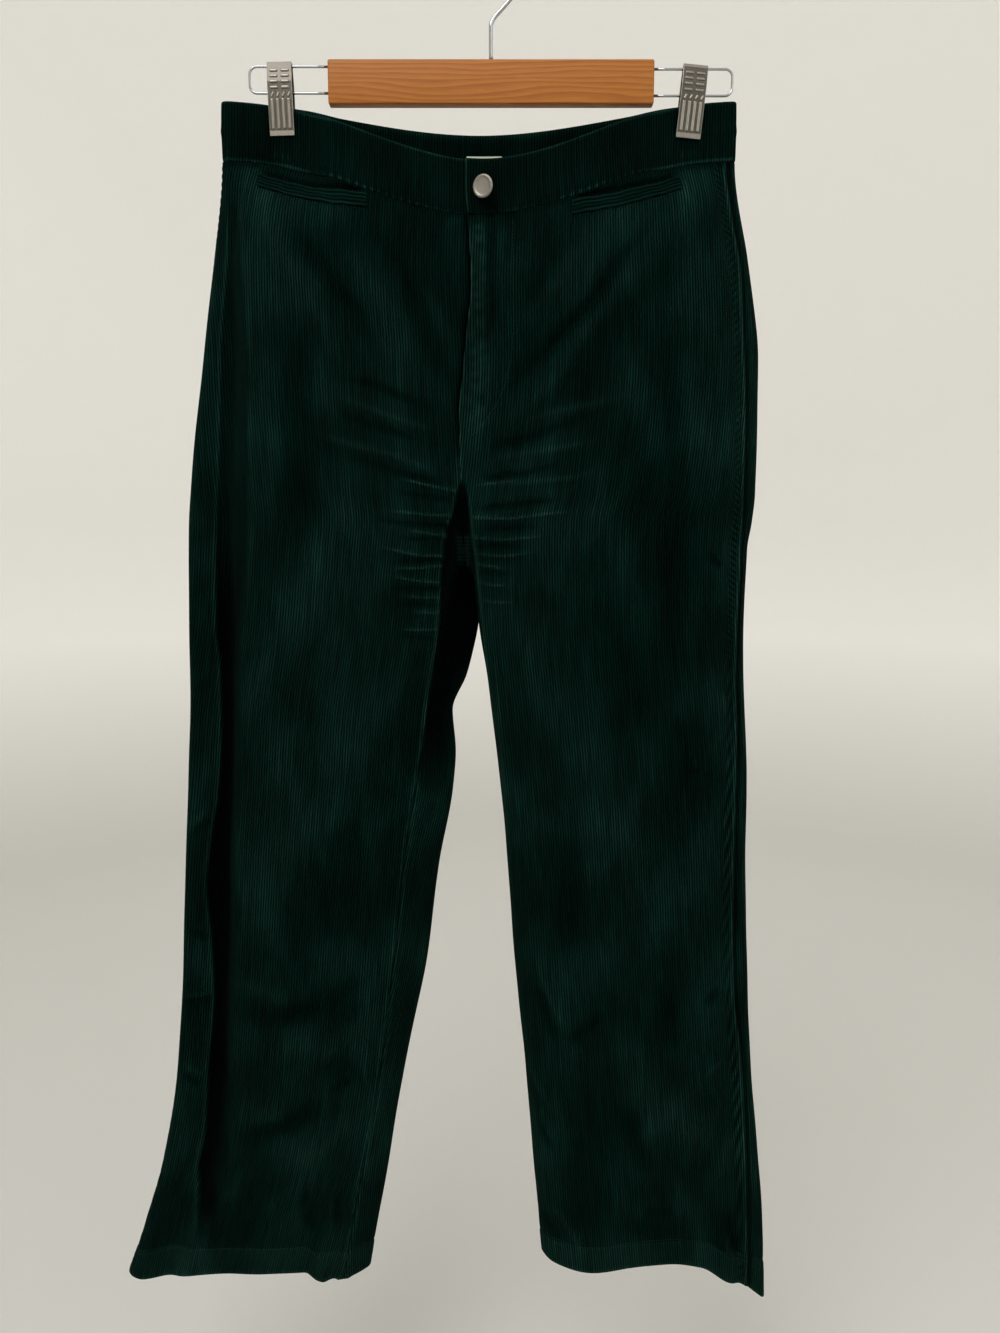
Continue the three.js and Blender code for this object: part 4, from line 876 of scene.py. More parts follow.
def ripple(x, z, seed):
    """The faint unevenness of hanging cloth: long waves of several sizes added together."""
    return (0.45 * np.sin(x / 19 + z / 210 + seed) + 0.35 * np.sin(x / 33 - z / 95 + 2 * seed)
            + 0.30 * np.sin(x / 11.5 + z / 61 + 3 * seed) * np.sin(z / 47 + seed)
            + 0.22 * np.sin(x / 7.3 - z / 23 + 5 * seed) * np.sin(z / 31 + x / 29 + seed))


print("creases:", {"_".join(key): len(rows) for key, rows in CREASES.items()})

# %% [markdown]
# ## Panels
# A panel starts as a flat grid and is moved onto the hanging form. Beside each seam the cloth dips
# into a groove between two low swells, because the turned edges lie doubled under it. The fly is a
# doubled strip, so it stands a millimetre higher, with its free edge rolled under.

# %% Grids of one half
FLY = {"stitchX": 19, "turnsAt": -316, "endsX": -24, "endsAt": -400, "raised": 1.2, "edge": 7}


def fly_height(x, z):
    turned = np.maximum(0, FLY["turnsAt"] - z) / (FLY["turnsAt"] - FLY["endsAt"])
    edge = FLY["endsX"] + (FLY["stitchX"] - FLY["endsX"]) * np.sqrt(np.maximum(0, 1 - turned ** 2))
    rise = smooth((edge + FLY["edge"] - x) / FLY["edge"]) * smooth((z - FLY["endsAt"]) / 14)
    return FLY["raised"] * rise * (z > FLY["endsAt"])


def seam_relief(distance, depth=0.9):
    return 0.5 * np.exp(-((distance - 4.2) / 2.6) ** 2) - depth * np.exp(-(distance / 1.3) ** 2)


def pockets(side, x, z):
    """The panel sinks into a slit just above each pocket welt."""
    (x0, z0), (x1, z1) = POCKET_LINES[side]
    t = np.clip((x - x0) / (x1 - x0), 0, 1)
    middle = z0 + (z1 - z0) * t - 3 * np.sin(math.pi * t)
    inside = smooth(t / 0.12) * smooth((1 - t) / 0.12)
    above = z - (middle + 8.6)
    return -2.6 * inside * np.exp(-(above / 2.6) ** 2)


# The right leg is folded in at its side: a flap overhangs a deep trough, between these two edges
TROUGH = curves(["z", "flap", "ridge"], [
    [-193, -223, -218], [-226, -222, -214], [-265, -225, -210], [-310, -231, -208],
    [-364, -235, -209], [-424, -239, -211], [-496, -245, -215], [-537, -247, -220],
    [-567, -248, -225], [-591, -246, -227], [-664, -248, -232], [-713, -252, -235],
    [-764, -261, -240], [-810, -266, -241], [-859, -264, -243], [-905, -264, -246],
    [-990, -273, -252], [-1048, -278, -256], [-1091, -287, -266],
])


def side_trough(x, z):
    """How deep in the trough each point lies, 0 to 1, and how near it is to the flap's lip."""
    flap, ridge = TROUGH["flap"](z), TROUGH["ridge"](z)
    ends = smooth((-182 - z) / 70) * smooth((z + 1165) / 60)
    inside = smooth((x - flap) / 3.2) * (1 - smooth((x - ridge + 8) / 16)) * ends
    return inside, np.exp(-((x - flap + 0.9) / (1.2 + 1.4 * smooth((-1000 - z) / 80))) ** 2) * ends


# The left outseam lies a little way round on the front
SIDE_SEAM = curves(["z", "x"], [
    [-179, 196.4], [-217, 202.6], [-256, 209.8], [-284, 211.6], [-314, 213.5], [-348, 216.0],
    [-394, 217.9], [-424, 218.0], [-467, 218.6], [-517, 218.5], [-599, 217.6], [-650, 220.2],
    [-742, 221.4], [-821, 222.1], [-903, 225.7], [-970, 234.5], [-1049, 241.0], [-1181, 248.4],
])


def side_seam(x, z):
    """The piped line of the left outseam: its lift and its wear, with chevron puckers beside it. The gap
    beside the line and the pucker troughs get painted shade.
    """
    near = x - SIDE_SEAM["x"](z)
    chevrons = np.sin(2 * math.pi * (z + 0.7 * near) / 5.4 + 1.5 * np.sin(z / 29))
    beside = np.exp(-((near + 5.5) / 3.6) ** 2) * (0.7 + 0.3 * np.sin(z / 41 + 1))
    line = np.exp(-(near / 1.2) ** 2)
    gap = np.exp(-((near - 3.2) / 1.5) ** 2)
    lifted = 0.6 * line - 1.0 * gap + 0.8 * chevrons * beside
    worn_and_painted_light = line * (0.75 + 0.2 * chevrons + 0.15 * np.sin(z / 33)) - 0.7 * gap + 0.45 * chevrons * beside
    return lifted, worn_and_painted_light


# Between the thighs the fronts turn in: a slot in shadow opens between these two edges
FORK = curves(["z", "right", "left"], [
    [-431, -27, -22.7], [-441, -29.5, -20.6], [-463, -34.2, -18.3], [-479, -39.6, -17], [-499, -42, -14.3],
    [-520, -44.8, -12.6], [-546, -46.1, -10.1], [-562, -47.8, -8.4], [-584, -49.5, -6.5], [-610, -53.5, -4],
    [-668, -62.5, 3], [-716, -70, 8.5],
])


def fork(x, z):
    """How far into the slot each point lies, how near to its lips, and the rungs of its doubled seam."""
    right, left = FORK["right"](z), FORK["left"](z)
    inside = smooth((x - right) / 2.2) * (1 - smooth((x - left + 2.2) / 2.2))
    inside *= smooth((-430 - z) / 14) * (1 - smooth((-575 - z) / 40))
    lips = np.exp(-((x - right + 0.9) / 0.9) ** 2) + np.exp(-((x - left - 0.9) / 0.9) ** 2)
    lips *= smooth((-436 - z) / 14) * smooth((z + 720) / 120)
    doubled = np.exp(-((x + 25) / 6.5) ** 4) * smooth((-477 - z) / 5) * smooth((z + 512) / 5)
    return inside, lips, doubled * (0.8 + 0.3 * np.sin(2 * math.pi * z / 3.4))


POCKET_LINES = {"right": ((-196, -184.5), (-102, -206)), "left": ((158.5, -187.5), (67, -211.5))}
OUTSEAM = {side: sum(CELLS[side][0]) for side in CELLS}


def half_grid(side):
    """Points, outward directions and stored values of one half of the trousers."""
    z = LEVELS
    flat = through(section_points(side, z), stretches(side))
    points = np.concatenate([flat, np.broadcast_to(z[:, None, None], flat.shape[:2] + (1,))], axis=2)
    front = np.arange(points.shape[1]) <= OUTSEAM[side]
    fading = np.clip((z - DROP_FADES_AT) / (BAND_SEAM - DROP_FADES_AT), 0, 1) ** 1.6
    hemming = np.clip((HEM_LINE_STARTS - z) / (HEM_LINE_STARTS - HEM_FOOT), 0, 1) ** 2
    x = points[..., 0]
    lowered = np.where(front, drop(FRONT_SEAM_DROP, x), drop(BACK_DROP, x)) * fading[:, None]
    foot = (HEMS[side]["foot"](x) - HEM_FOOT) * hemming[:, None]
    points[..., 2] += foot - lowered
    points = pinched(points, z)
    closed_from = int(np.argmax(z <= CROTCH))
    out = outward_of(points, side, closed_from)
    steps = np.linalg.norm(np.diff(points, axis=1), axis=2)
    arc = np.concatenate([np.zeros((len(z), 1)), np.cumsum(steps, axis=1)], axis=1)
    x, y, zz = points[..., 0], points[..., 1], points[..., 2]
    to_front = arc
    to_back = arc[:, -1:] - arc
    to_side = np.abs(arc - arc[:, OUTSEAM[side]][:, None])
    # The fly's edge lies free, and the left outseam is drawn by its own line
    loose = 99.0 * smooth((zz + 462) / 14) * front if side == "left" else 0.0
    seams = np.minimum(np.minimum(to_front + loose, to_back), to_side + (99 if side == "left" else 0))
    facing_front = front & (y < 2)
    front_relief, back_relief = (crease_relief(side, face, x, zz) for face in ("front", "back"))
    creases = np.where(facing_front, front_relief[0], back_relief[0])
    rubbed_and_painted_light = np.where(facing_front, front_relief[1], back_relief[1])
    patched = np.where(facing_front, *(broad_patches(side, face, x, zz) for face in ("front", "back")))
    lift = creases + ripple(x, zz, 0.7 if side == "right" else 2.1) * smooth(seams / 14)
    lift += seam_relief(seams)
    slit = np.where(front, pockets(side, x, zz), 0)
    lift += slit
    # Seams pucker: short waves that die out within a few millimetres
    strength = 0.3 + 0.1 * (to_side < 12)
    waves = np.sin(2 * math.pi * (zz + 0.8 * seams) / 6.2 + 1.7 * np.sin(zz / 37) + 0.9 * np.sin(zz / 13))
    lift += strength * waves * np.exp(-((seams - 5) / 5) ** 2) * smooth(seams / 2.5)
    wear_and_painted_light = 0.06 + 0.4 * np.exp(-((seams - 2.2) / 1.4) ** 2) * (0.75 + 0.35 * waves)
    if side == "right":
        trough, lip = side_trough(x, zz)
        deeper = 0.3 + 0.7 * smooth((-430 - zz) / 130)
        lift -= (3.6 * trough * deeper - 0.8 * lip) * front
        # Painted shade fills the trough, and the flap's lip is painted paler
        wear_and_painted_light += (0.34 * lip - 1.1 * trough * deeper) * front
        # Painted highlight: a pale line down the ridge beside the trough
        ridge = TROUGH["ridge"](zz)
        upper = smooth((-185 - zz) / 30) * smooth((zz + 640) / 90)
        wear_and_painted_light += 0.16 * np.exp(-((x - ridge - 5) / 3.2) ** 2) * front * upper
    else:
        piped, paled_and_shaded = side_seam(x, zz)
        lift += piped * front
        wear_and_painted_light += paled_and_shaded * front
    if side == "left":
        fly = fly_height(x, zz) * front
        lift += fly
        zip_groove = np.exp(-((x - 0.5) / 2.2) ** 2) * smooth((zz + 318) / 30) * smooth((-205 - zz) / 20)
        lift -= 1.3 * zip_groove * front
        on_fly = fly / FLY["raised"]
        puckers = 0.5 + 0.5 * np.sin(zz / 1.9 + 2.2 * np.sin(zz / 9)) * np.sin(x / 3.3 + zz / 21)
        strip = np.exp(-((x + 11) / 9) ** 2)
        # Painted shade darkens the groove beside the fly's edge
        wear_and_painted_light += on_fly * (-0.02 + 0.42 * puckers * strip) - 0.85 * zip_groove * front
        lift += 0.45 * (puckers - 0.5) * on_fly * strip
        # Just under the band the fly gets a painted shadow, and its free edge is rubbed pale
        wear_and_painted_light -= 0.5 * on_fly * smooth((zz + 235) / 25)
        free = smooth((zz + 470) / 10) * smooth((-225 - zz) / 8)
        wear_and_painted_light += 0.9 * np.exp(-to_front ** 2) * front * free
    else:
        # Below the crotch the back of this leg lies deep behind the edge of its front, and is darkened
        # there with painted shade
        sunk = smooth((-494 - zz) / 16) * (1 - smooth((-640 - zz) / 90)) * ~front
        lift -= 5.5 * sunk * smooth(to_back / 5) * (1 - smooth((to_back - 12) / 20))
        wear_and_painted_light -= 1.0 * sunk * (1 - smooth((to_back - 16) / 26))
        # The right front lies under the edge of the fly, darkened there with painted shade
        tucked = smooth((zz + 430) / 60) * front * np.exp(-(to_front / 3.5) ** 2)
        lift -= 1.4 * tucked
        wear_and_painted_light -= 1.2 * tucked
    slot, slot_lips, rungs = fork(x, zz)
    inside = np.where(front, 1.0, 1 - smooth((y - 8) / 8))
    # Painted shade darkens the slot between the thighs; the rungs of its doubled seam and its lips are
    # paler
    wear_and_painted_light += (2.5 * rungs - 1.3 * slot) * inside + 0.6 * slot_lips * front
    hem_line = HEM_FOOT + HEM_HEIGHT
    at_hem = z <= hem_line
    lift += np.where(at_hem, 0.5, 0.0)[:, None]
    lift -= (0.55 * np.exp(-((z - hem_line) / 1.4) ** 2))[:, None]
    hem_waves = np.sin(x / 3.1 + 2 * np.sin(x / 17)) * np.exp(-((z - hem_line) / 7) ** 2)[:, None]
    lift += 0.28 * hem_waves
    wear_and_painted_light += (0.18 * (z < hem_line + 2))[:, None] + (0.35 * np.exp(-((z - HEM_FOOT) / 2.5) ** 2))[:, None]
    # Rubbed ridges are paler, troughs and pocket slits are darkened with painted shade, and the broad
    # patches vary the pile's tone
    wear_and_painted_light += np.clip(rubbed_and_painted_light, -0.5, 0.7) + 0.33 * slit + patched
    # A thin painted shadow of the band darkens the top of the panels
    wear_and_painted_light -= (0.5 * np.exp(-((z - BAND_SEAM) / 3.0) ** 2))[:, None]
    # The four panels meet in one point at the crotch
    meeting = (1 - smooth(np.hypot(x - CROTCH_X, zz - CROTCH) / 16)) * (1 - smooth(seams / 9))
    lift *= 1 - meeting
    points = points + out * lift[..., None]
    grain = [sum(sum(CELLS[side], [])[:k]) for k in GRAIN_POINT[side]]
    down = np.linalg.norm(np.diff(points[:, grain[0]], axis=0), axis=1)
    along = -np.concatenate([[0], np.cumsum(down)])
    front_across, back_across = (arc - arc[:, k][:, None] for k in grain)
    return {"points": points, "out": outward_of(points, side, closed_from), "along": along,
            "across": {"front": front_across, "back": back_across}, "wear_and_painted_light": np.clip(wear_and_painted_light, -1, 1)}


GRIDS = {side: half_grid(side) for side in CELLS}
print("grid of a half:", {side: grid["points"].shape[:2] for side, grid in GRIDS.items()})


# %% A sheet from a grid
def new_object(name, bm, material, smooth_faces=True):
    mesh = bpy.data.meshes.new(name)
    bm.to_mesh(mesh)
    bm.free()
    for polygon in mesh.polygons:
        polygon.use_smooth = smooth_faces
    mesh.materials.append(material)
    obj = bpy.data.objects.new(name, mesh)
    bpy.context.scene.collection.objects.link(obj)
    return obj


def place_piece(obj, slot, *nodes):
    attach(obj, BODY)
    if nodes:
        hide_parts(*nodes)
    return obj


def cloth_grid(name, points, across, along, wear_and_painted_light, outward_at, material):
    """A flat grid of rows by columns, moved onto points in millimetres, with its map and its stored wear,
    painted shade and painted highlights.
    """
    high, wide = points.shape[:2]
    bm = bmesh.new()
    bmesh.ops.create_grid(bm, x_segments=wide - 1, y_segments=high - 1, size=0.5)
    order = [(round((0.5 - v.co.y) * (high - 1)), round((v.co.x + 0.5) * (wide - 1))) for v in bm.verts]
    rows, columns = np.array(order).T
    places = points[rows, columns] * MM
    for v, place in zip(bm.verts, places):
        v.co = place
    bm.verts.index_update()
    u, w = across[rows, columns], along[rows, columns]
    uv = bm.loops.layers.uv.new("grain")
    stored = bm.verts.layers.float.new("wear_and_painted_light")
    values = wear_and_painted_light[rows, columns]
    for v in bm.verts:
        v[stored] = values[v.index]
    for face in bm.faces:
        for loop in face.loops:
            k = loop.vert.index
            loop[uv].uv = (u[k], w[k])
    bm.normal_update()
    bm.faces.ensure_lookup_table()
    middle = bm.faces[len(bm.faces) // 2 + (wide - 1) // 2]
    if middle.normal.dot(Vector(outward_at)) < 0:
        bmesh.ops.reverse_faces(bm, faces=bm.faces)
    return new_object(name, bm, material)


def thicken(obj, millimetres):
    """Gives a sheet its wall, inwards from its outer face."""
    wall = obj.modifiers.new("wall", "SOLIDIFY")
    wall.thickness = millimetres * MM
    wall.offset = -1


# %% [markdown]
# The hem is turned up inside, so each panel goes round the fold and 24 mm up again behind itself.

# %% The four panels
CLOTH_WALL = 1.2
TURN_RADIUS = 1.25
TURN_UP = 24.0


def with_hem(grid, face, first, last):
    """Cuts one panel out of a half and adds the rows that turn its hem up inside the leg."""
    part = {key: grid[key][:, first:last + 1] for key in ("points", "out", "wear_and_painted_light")}
    across = grid["across"][face][:, first:last + 1]
    foot, out = part["points"][-1], part["out"][-1]
    up = part["points"][-4] - foot
    up /= np.linalg.norm(up, axis=1, keepdims=True)
    steps_up = np.linalg.norm(np.diff(part["points"][::-1], axis=0), axis=2).mean(axis=1)
    risen = np.concatenate([[0], np.cumsum(steps_up)])
    extra, steps = [], []
    for angle in (30, 60, 90, 120, 150, 180):
        a = math.radians(angle)
        extra.append(foot - out * TURN_RADIUS * (1 - math.cos(a)) - up * TURN_RADIUS * math.sin(a))
        steps.append(TURN_RADIUS * math.radians(30))
    for height in (3, 8, 14, 20, TURN_UP):
        at = float(np.interp(height, risen, np.arange(len(risen))))
        low, share = int(at), at % 1
        row, normal = ((1 - share) * part[key][-1 - low] + share * part[key][-2 - low]
                       for key in ("points", "out"))
        extra.append(row - normal * 2 * TURN_RADIUS)
        steps.append(5.0)
    count = len(extra)
    points = np.concatenate([part["points"], np.array(extra)])
    across = np.concatenate([across, np.repeat(across[-1:], count, axis=0)])
    wear_and_painted_light = np.concatenate([part["wear_and_painted_light"], np.repeat(part["wear_and_painted_light"][-1:], count, axis=0) * 0.5])
    along = np.concatenate([grid["along"], grid["along"][-1] - np.cumsum(steps)])
    return points, across, np.repeat(along[:, None], points.shape[1], axis=1), wear_and_painted_light


def drawn_in(points, gap):
    """Draws the two side edges of a sheet back from its seams."""
    points = points.copy()
    for edge, near in ((0, 1), (-1, -2)):
        step = points[:, near] - points[:, edge]
        length = np.maximum(np.linalg.norm(step, axis=1, keepdims=True), 1e-6)
        apart = smooth(np.abs(points[:, edge, 2:] - CROTCH) / 14)
        points[:, edge] += step * np.minimum(gap * apart / length, 0.8)
    return points


SEAM_GAP = 0.15
PANELS = {}
for side in CELLS:
    grid = GRIDS[side]
    last = grid["points"].shape[1] - 1
    for face, (start, stop) in {"front": (0, OUTSEAM[side]), "back": (OUTSEAM[side], last)}.items():
        points, across, along, wear_and_painted_light = with_hem(grid, face, start, stop)
        points = drawn_in(points, SEAM_GAP)
        out_at = (0, -1, 0) if face == "front" else (0, 1, 0)
        panel = cloth_grid(f"cloth_{face}_{side}", points, across, along, wear_and_painted_light, out_at, CORDUROY)
        thicken(panel, CLOTH_WALL)
        place_piece(panel, "corduroy", f"{face}_{side}")
        PANELS[face, side] = panel
        area = sum(polygon.area for polygon in panel.data.polygons)
        print(panel.name, "faces", len(panel.data.polygons), "area", round(area, 4), "m2")

# %% [markdown]
# ## Waistband
# The band is a folded strip of the same corduroy: an outer layer that turns over at the top and
# comes down again inside. Its cords stand upright, so the folded top edge shows them as a fine
# sawtooth. Here the cords are modelled in the mesh, because that edge is seen against the light.
# Each piece is one strip folded to 2.4 mm over both layers, open along the seam, with a rounded end
# where it overlaps.

# %% Rows along the waistband
BAND_THICK = 2.4
BAND_LAYER = 1.1       # one of its two layers
BAND_HEIGHT = BAND_TOP - BAND_SEAM - 0.3
CORD_STEP = CORD_PITCH / 5
OVERLAP_EDGE = -21.0
BAND_LEVELS = np.linspace(BAND_TOP, BAND_SEAM + 0.3, 7)
OUTER_ROWS = 30        # rows down the outer layer and over the fold


def overlap_height(x):
    return 1.6 * (1 - smooth((x - OVERLAP_EDGE) / 48))


def band_line(side, face):
    """The band's surface at seven heights, from the centre front to the side, or on to the centre back."""
    front = len(CELLS[side][0])
    flat = through(section_points(side, BAND_LEVELS), [cell_ends(30)] * 12)
    edge = 30 * front
    flat = flat[:, :edge + 1] if face == "front" else flat[:, edge:]
    share = ((BAND_TOP - BAND_LEVELS) / BAND_HEIGHT)[:, None]
    x = flat[..., 0]
    top, seam = (FRONT_TOP_DROP, FRONT_SEAM_DROP) if face == "front" else (BACK_DROP, BACK_DROP)
    z = BAND_LEVELS[:, None] - (drop(top, x) * (1 - share) + drop(seam, x) * share)
    return pinched(np.concatenate([flat, z[..., None]], axis=2), BAND_LEVELS)


def even_columns(line, step):
    """Spreads the columns of a surface evenly along it."""
    runs = np.linalg.norm(np.diff(line, axis=1), axis=2)
    places = np.concatenate([np.zeros((len(line), 1)), np.cumsum(runs, axis=1)], axis=1)
    count = int(round(places[0, -1] / step)) + 1
    rows = []
    for row, at in zip(line, places):
        wanted = np.linspace(0, at[-1], count)
        rows.append(np.stack([np.interp(wanted, at, row[:, k]) for k in range(3)], axis=1))
    return np.array(rows), places[0, -1]


def cord_relief(u):
    """Rounded cords with narrow grooves, 0 to 1."""
    away = np.abs((u / CORD_PITCH) % 1 - 0.5)
    return smooth((0.5 - away) / 0.36)


def band_piece(name, line, lift, rounded, replaced):
    """A folded band over a line of points; rounded says which of its ends are finished edges."""
    surface, length = even_columns(line, CORD_STEP)
    out = np.cross(np.gradient(surface, axis=1), np.gradient(surface, axis=0))
    out /= np.maximum(np.linalg.norm(out, axis=2, keepdims=True), 1e-9)
    count = surface.shape[1]
    u = np.linspace(0, length, count)
    half = BAND_THICK / 2
    down = [(BAND_HEIGHT - 1.0 * k / 3, 0.25 * k / 3 - 0.25) for k in range(3)]
    down += [(s, 0) for s in np.linspace(BAND_HEIGHT - 2, half, 20)]
    over = np.linspace(0, math.pi, 9)[1:]
    down += [(half - half * math.sin(a), -half + half * math.cos(a)) for a in over]
    down += [(s, -BAND_THICK) for s in np.linspace(half, BAND_HEIGHT, 9)[1:]]
    levels_at = np.linspace(0, BAND_HEIGHT, len(BAND_LEVELS))
    rows = []
    lifted = lift(surface[0, :, 0])
    waves = 0.35 * np.sin(u / 23 + len(name)) + 0.25 * np.sin(u / 9.1)
    for k, (s, o) in enumerate(down):
        deep = np.full(count, s)
        offset = np.full(count, float(o))
        inside = k > OUTER_ROWS
        ends = np.full(count, 1e9)
        if "start" in rounded:
            ends = np.minimum(ends, u)
        if "end" in rounded:
            ends = np.minimum(ends, length - u)
        squeeze = np.sqrt(np.maximum(0, 1 - np.maximum(0, 1 - ends / half) ** 2))
        offset = -half + (offset + half) * squeeze
        corner = np.maximum(0, 6 - ends)
        limit = BAND_HEIGHT - (6 - np.sqrt(np.maximum(0, 36 - corner ** 2)))
        deep = np.minimum(deep, limit)
        at = deep / BAND_HEIGHT * (len(levels_at) - 1)
        low = np.clip(at.astype(int), 0, len(levels_at) - 2)
        share = (at - low)[:, None]
        columns = np.arange(count)
        base = surface[low, columns] * (1 - share) + surface[low + 1, columns] * share
        normal = out[low, columns] * (1 - share) + out[low + 1, columns] * share
        cords = 0.34 * (cord_relief(u) - 0.6) * (0.35 if inside else 1.0) * squeeze
        # The band bulges softly between its seams, and dips where it is sewn down
        puffed = 0 if inside else 0.55 * math.sin(math.pi * min(1, s / BAND_HEIGHT)) ** 0.6 - 0.35
        seam_dip = 0 if inside else -0.7 * math.exp(-((BAND_HEIGHT - s) / 1.3) ** 2)
        soft = 0 if inside else waves * math.sin(math.pi * min(1, s / BAND_HEIGHT))
        creased = 0 if inside else 0.5 * math.exp(-((s - 23) / 3.2) ** 2)
        at_sides = np.clip((np.abs(base[:, 0] - WAIST_MIDDLE) - 165) / 25, 0, 1)
        step = offset + lifted + cords + puffed + seam_dip + soft + creased * at_sides
        rows.append(base + normal * step[:, None])
    points = np.array(rows)
    along = np.repeat(-np.array([s for s, o in down])[:, None], count, axis=1)
    across = np.repeat(u[None], len(down), axis=0)
    depth = np.array([s for s, o in down])[:, None]
    tops = np.exp(-((depth - 0.6) / 1.6) ** 2) + 0.4 * np.exp(-((BAND_HEIGHT - depth - 1.5) / 1.4) ** 2)
    ends = np.minimum(u if "start" in rounded else 99 + u, length - u if "end" in rounded else 99 + u)
    wear_and_painted_light = -0.36 + 0.7 * tops + 1.35 * np.exp(-(ends / 1.5) ** 2)[None]
    # Above the seam the edge is rubbed: a line at the sides, dashes nearer the middle, and puckers
    outer = smooth((np.abs(surface[0, :, 0] - WAIST_MIDDLE) - 120) / 40)
    dashes = smooth(np.sin(2 * math.pi * u / 7.3 + 2.3 * np.sin(u / 17)) * 1.5 + 0.2)
    dashes *= 0.35 + 0.65 * smooth(0.5 + np.sin(u / 13.7 + 1) * np.sin(u / 31))
    above = np.array([BAND_HEIGHT - s if o > -0.5 else 99.0 for s, o in down])[:, None]
    wear_and_painted_light = wear_and_painted_light + (0.6 * outer + 0.6 * dashes * (1 - outer)) * np.exp(-((above - 1.8) / 1.1) ** 2)
    wear_and_painted_light = wear_and_painted_light + 0.3 * (dashes - 0.5) * np.exp(-((above - 6) / 4) ** 2)
    # Short rubbed strokes hang below each clip
    for x in CLIP_X.values():
        for k in (-6, 0.5, 5):
            wear_and_painted_light = wear_and_painted_light + 0.75 * np.exp(-((surface[0, :, 0] - x - k) / 0.9) ** 2 - ((above - 9) / 4) ** 2)
    facing = (0, 1, 0) if name == "band_back" else (0, -1, 0)
    band = cloth_grid(name, points, across, along, np.clip(wear_and_painted_light, -1, 1), facing, CORDUROY_CUT_CORDS)
    thicken(band, BAND_LAYER)
    place_piece(band, "corduroy", replaced)
    print(name, "faces", len(band.data.polygons), "length", round(length, 1), "mm")
    return band, length


# %% The three pieces of the band
left_line = band_line("left", "front")
right_line = band_line("right", "front")
reach = int(np.sum(left_line[0, :, 0] < OVERLAP_EDGE + 38))
under_line = np.concatenate([left_line[:, 1:reach][:, ::-1], right_line], axis=1)
back_line = np.concatenate([band_line("right", "back"), band_line("left", "back")[:, :-1][:, ::-1]], axis=1)


def underlap_sink(x):
    return (1 - smooth((OVERLAP_EDGE - x) / 34)) * (overlap_height(x) - BAND_THICK - 0.5)


BANDS = {
    "left": band_piece("band_front_left", left_line[:, ::-1], overlap_height, ("end",),
                       "waistband_front_left"),
    "right": band_piece("band_front_right", under_line, underlap_sink, ("start",), "waistband_front_right"),
    "back": band_piece("band_back", back_line, lambda x: 0 * x, (), "waistband_back"),
}

# %% [markdown]
# ## Pocket welts
# Each slanted pocket mouth is closed by a narrow strip cut along the cords, so four cords run from
# end to end. The strip is laid over the panel by casting rays at it, and its ribs are real.

# %% Rays onto the cloth
def skin(obj):
    places = [v.co.copy() for v in obj.data.vertices]
    return BVHTree.FromPolygons(places, [p.vertices[:] for p in obj.data.polygons])


def touch(tree, x, z, side=-1):
    """Where a line along Y at x and z, in millimetres, meets the cloth. side -1 is the front."""
    hit, normal, _, _ = tree.ray_cast(Vector((x * MM, side * 0.3, z * MM)), Vector((0, -side, 0)))
    if hit is None:
        return None, None
    if normal.y * side < 0:
        normal = -normal
    return hit, normal


SKINS = {key: skin(panel) for key, panel in PANELS.items()}
WELT_HEIGHT = 11.5
WELT_RIBS = 4
WELT_SAG = 3.0


def welt_line(side, t):
    """The middle of a welt, at a share t of its length: it sags a little between its ends."""
    (x0, z0), (x1, z1) = POCKET_LINES[side]
    return x0 + (x1 - x0) * t, z0 + (z1 - z0) * t - WELT_SAG * math.sin(math.pi * t)


def welt(side):
    (x0, z0), (x1, z1) = POCKET_LINES[side]
    tree = SKINS["front", side]
    count, ribs = 125, 40
    face = [(k / ribs, 1.9 + 0.85 * abs(math.sin(math.pi * WELT_RIBS * k / ribs)) ** 0.8)
            for k in range(ribs + 1)]
    under = [(1.0, 0.9), (0.75, 0.6), (0.5, 0.6), (0.25, 0.6), (0.0, 0.9)]
    loop = [(0.0, 1.4), *face, *under]
    slope = math.atan2(z1 - z0, x1 - x0)
    rows = [[] for _ in loop]
    for i in range(count + 1):
        x, middle = welt_line(side, i / count)
        hits = {}
        for k, (across, high) in enumerate(loop):
            # The strip bridges the slit above it, so its height is read from its lower part
            key = min(across, 0.8)
            z = middle + WELT_HEIGHT * (key - 0.5)
            if key not in hits:
                hits[key] = touch(tree, x, z)[0]
            end = min(1, (0.5 + min(i, count - i)) / 1.5)
            y = hits[key].y / MM - high * (0.35 + 0.65 * end)
            wobble = 0.25 * math.sin(x / 6.3 + across * 2) + 0.2 * math.sin(x / 2.9)
            rows[k].append((x, y, middle + WELT_HEIGHT * (across - 0.5) + wobble))
    points = np.array(rows)
    across = np.repeat(np.array([a * WELT_RIBS * CORD_PITCH for a, h in loop])[:, None], count + 1, axis=1)
    along = np.repeat(np.linspace(0, math.hypot(x1 - x0, z1 - z0), count + 1)[None], len(loop), axis=0)
    edge = np.array([math.exp(-((1 - a) / 0.08) ** 2) + 0.7 * math.exp(-(a / 0.08) ** 2)
                     for a, h in loop])[:, None]
    wear_and_painted_light = np.clip(0.04 + 0.5 * edge + 0 * across, -1, 1)
    strip = cloth_grid(f"pocket_strip_{side}", points, across, along, wear_and_painted_light, (0, -1, 0), CORDUROY_CUT_CORDS)
    thicken(strip, 0.6)
    place_piece(strip, "corduroy", f"pocket_welt_{side}")
    print(strip.name, "slope", round(math.degrees(slope), 1), "faces", len(strip.data.polygons))
    return strip


WELTS = {side: welt(side) for side in POCKET_LINES}

# %% [markdown]
# ## Stitching
# Each stitch is one small bead of thread, sunk into the cloth. The rows follow the real seams: the
# J beside the fly, the hems and the lower edges of the welts. A few dozen faces a stitch keep
# hundreds of them light.

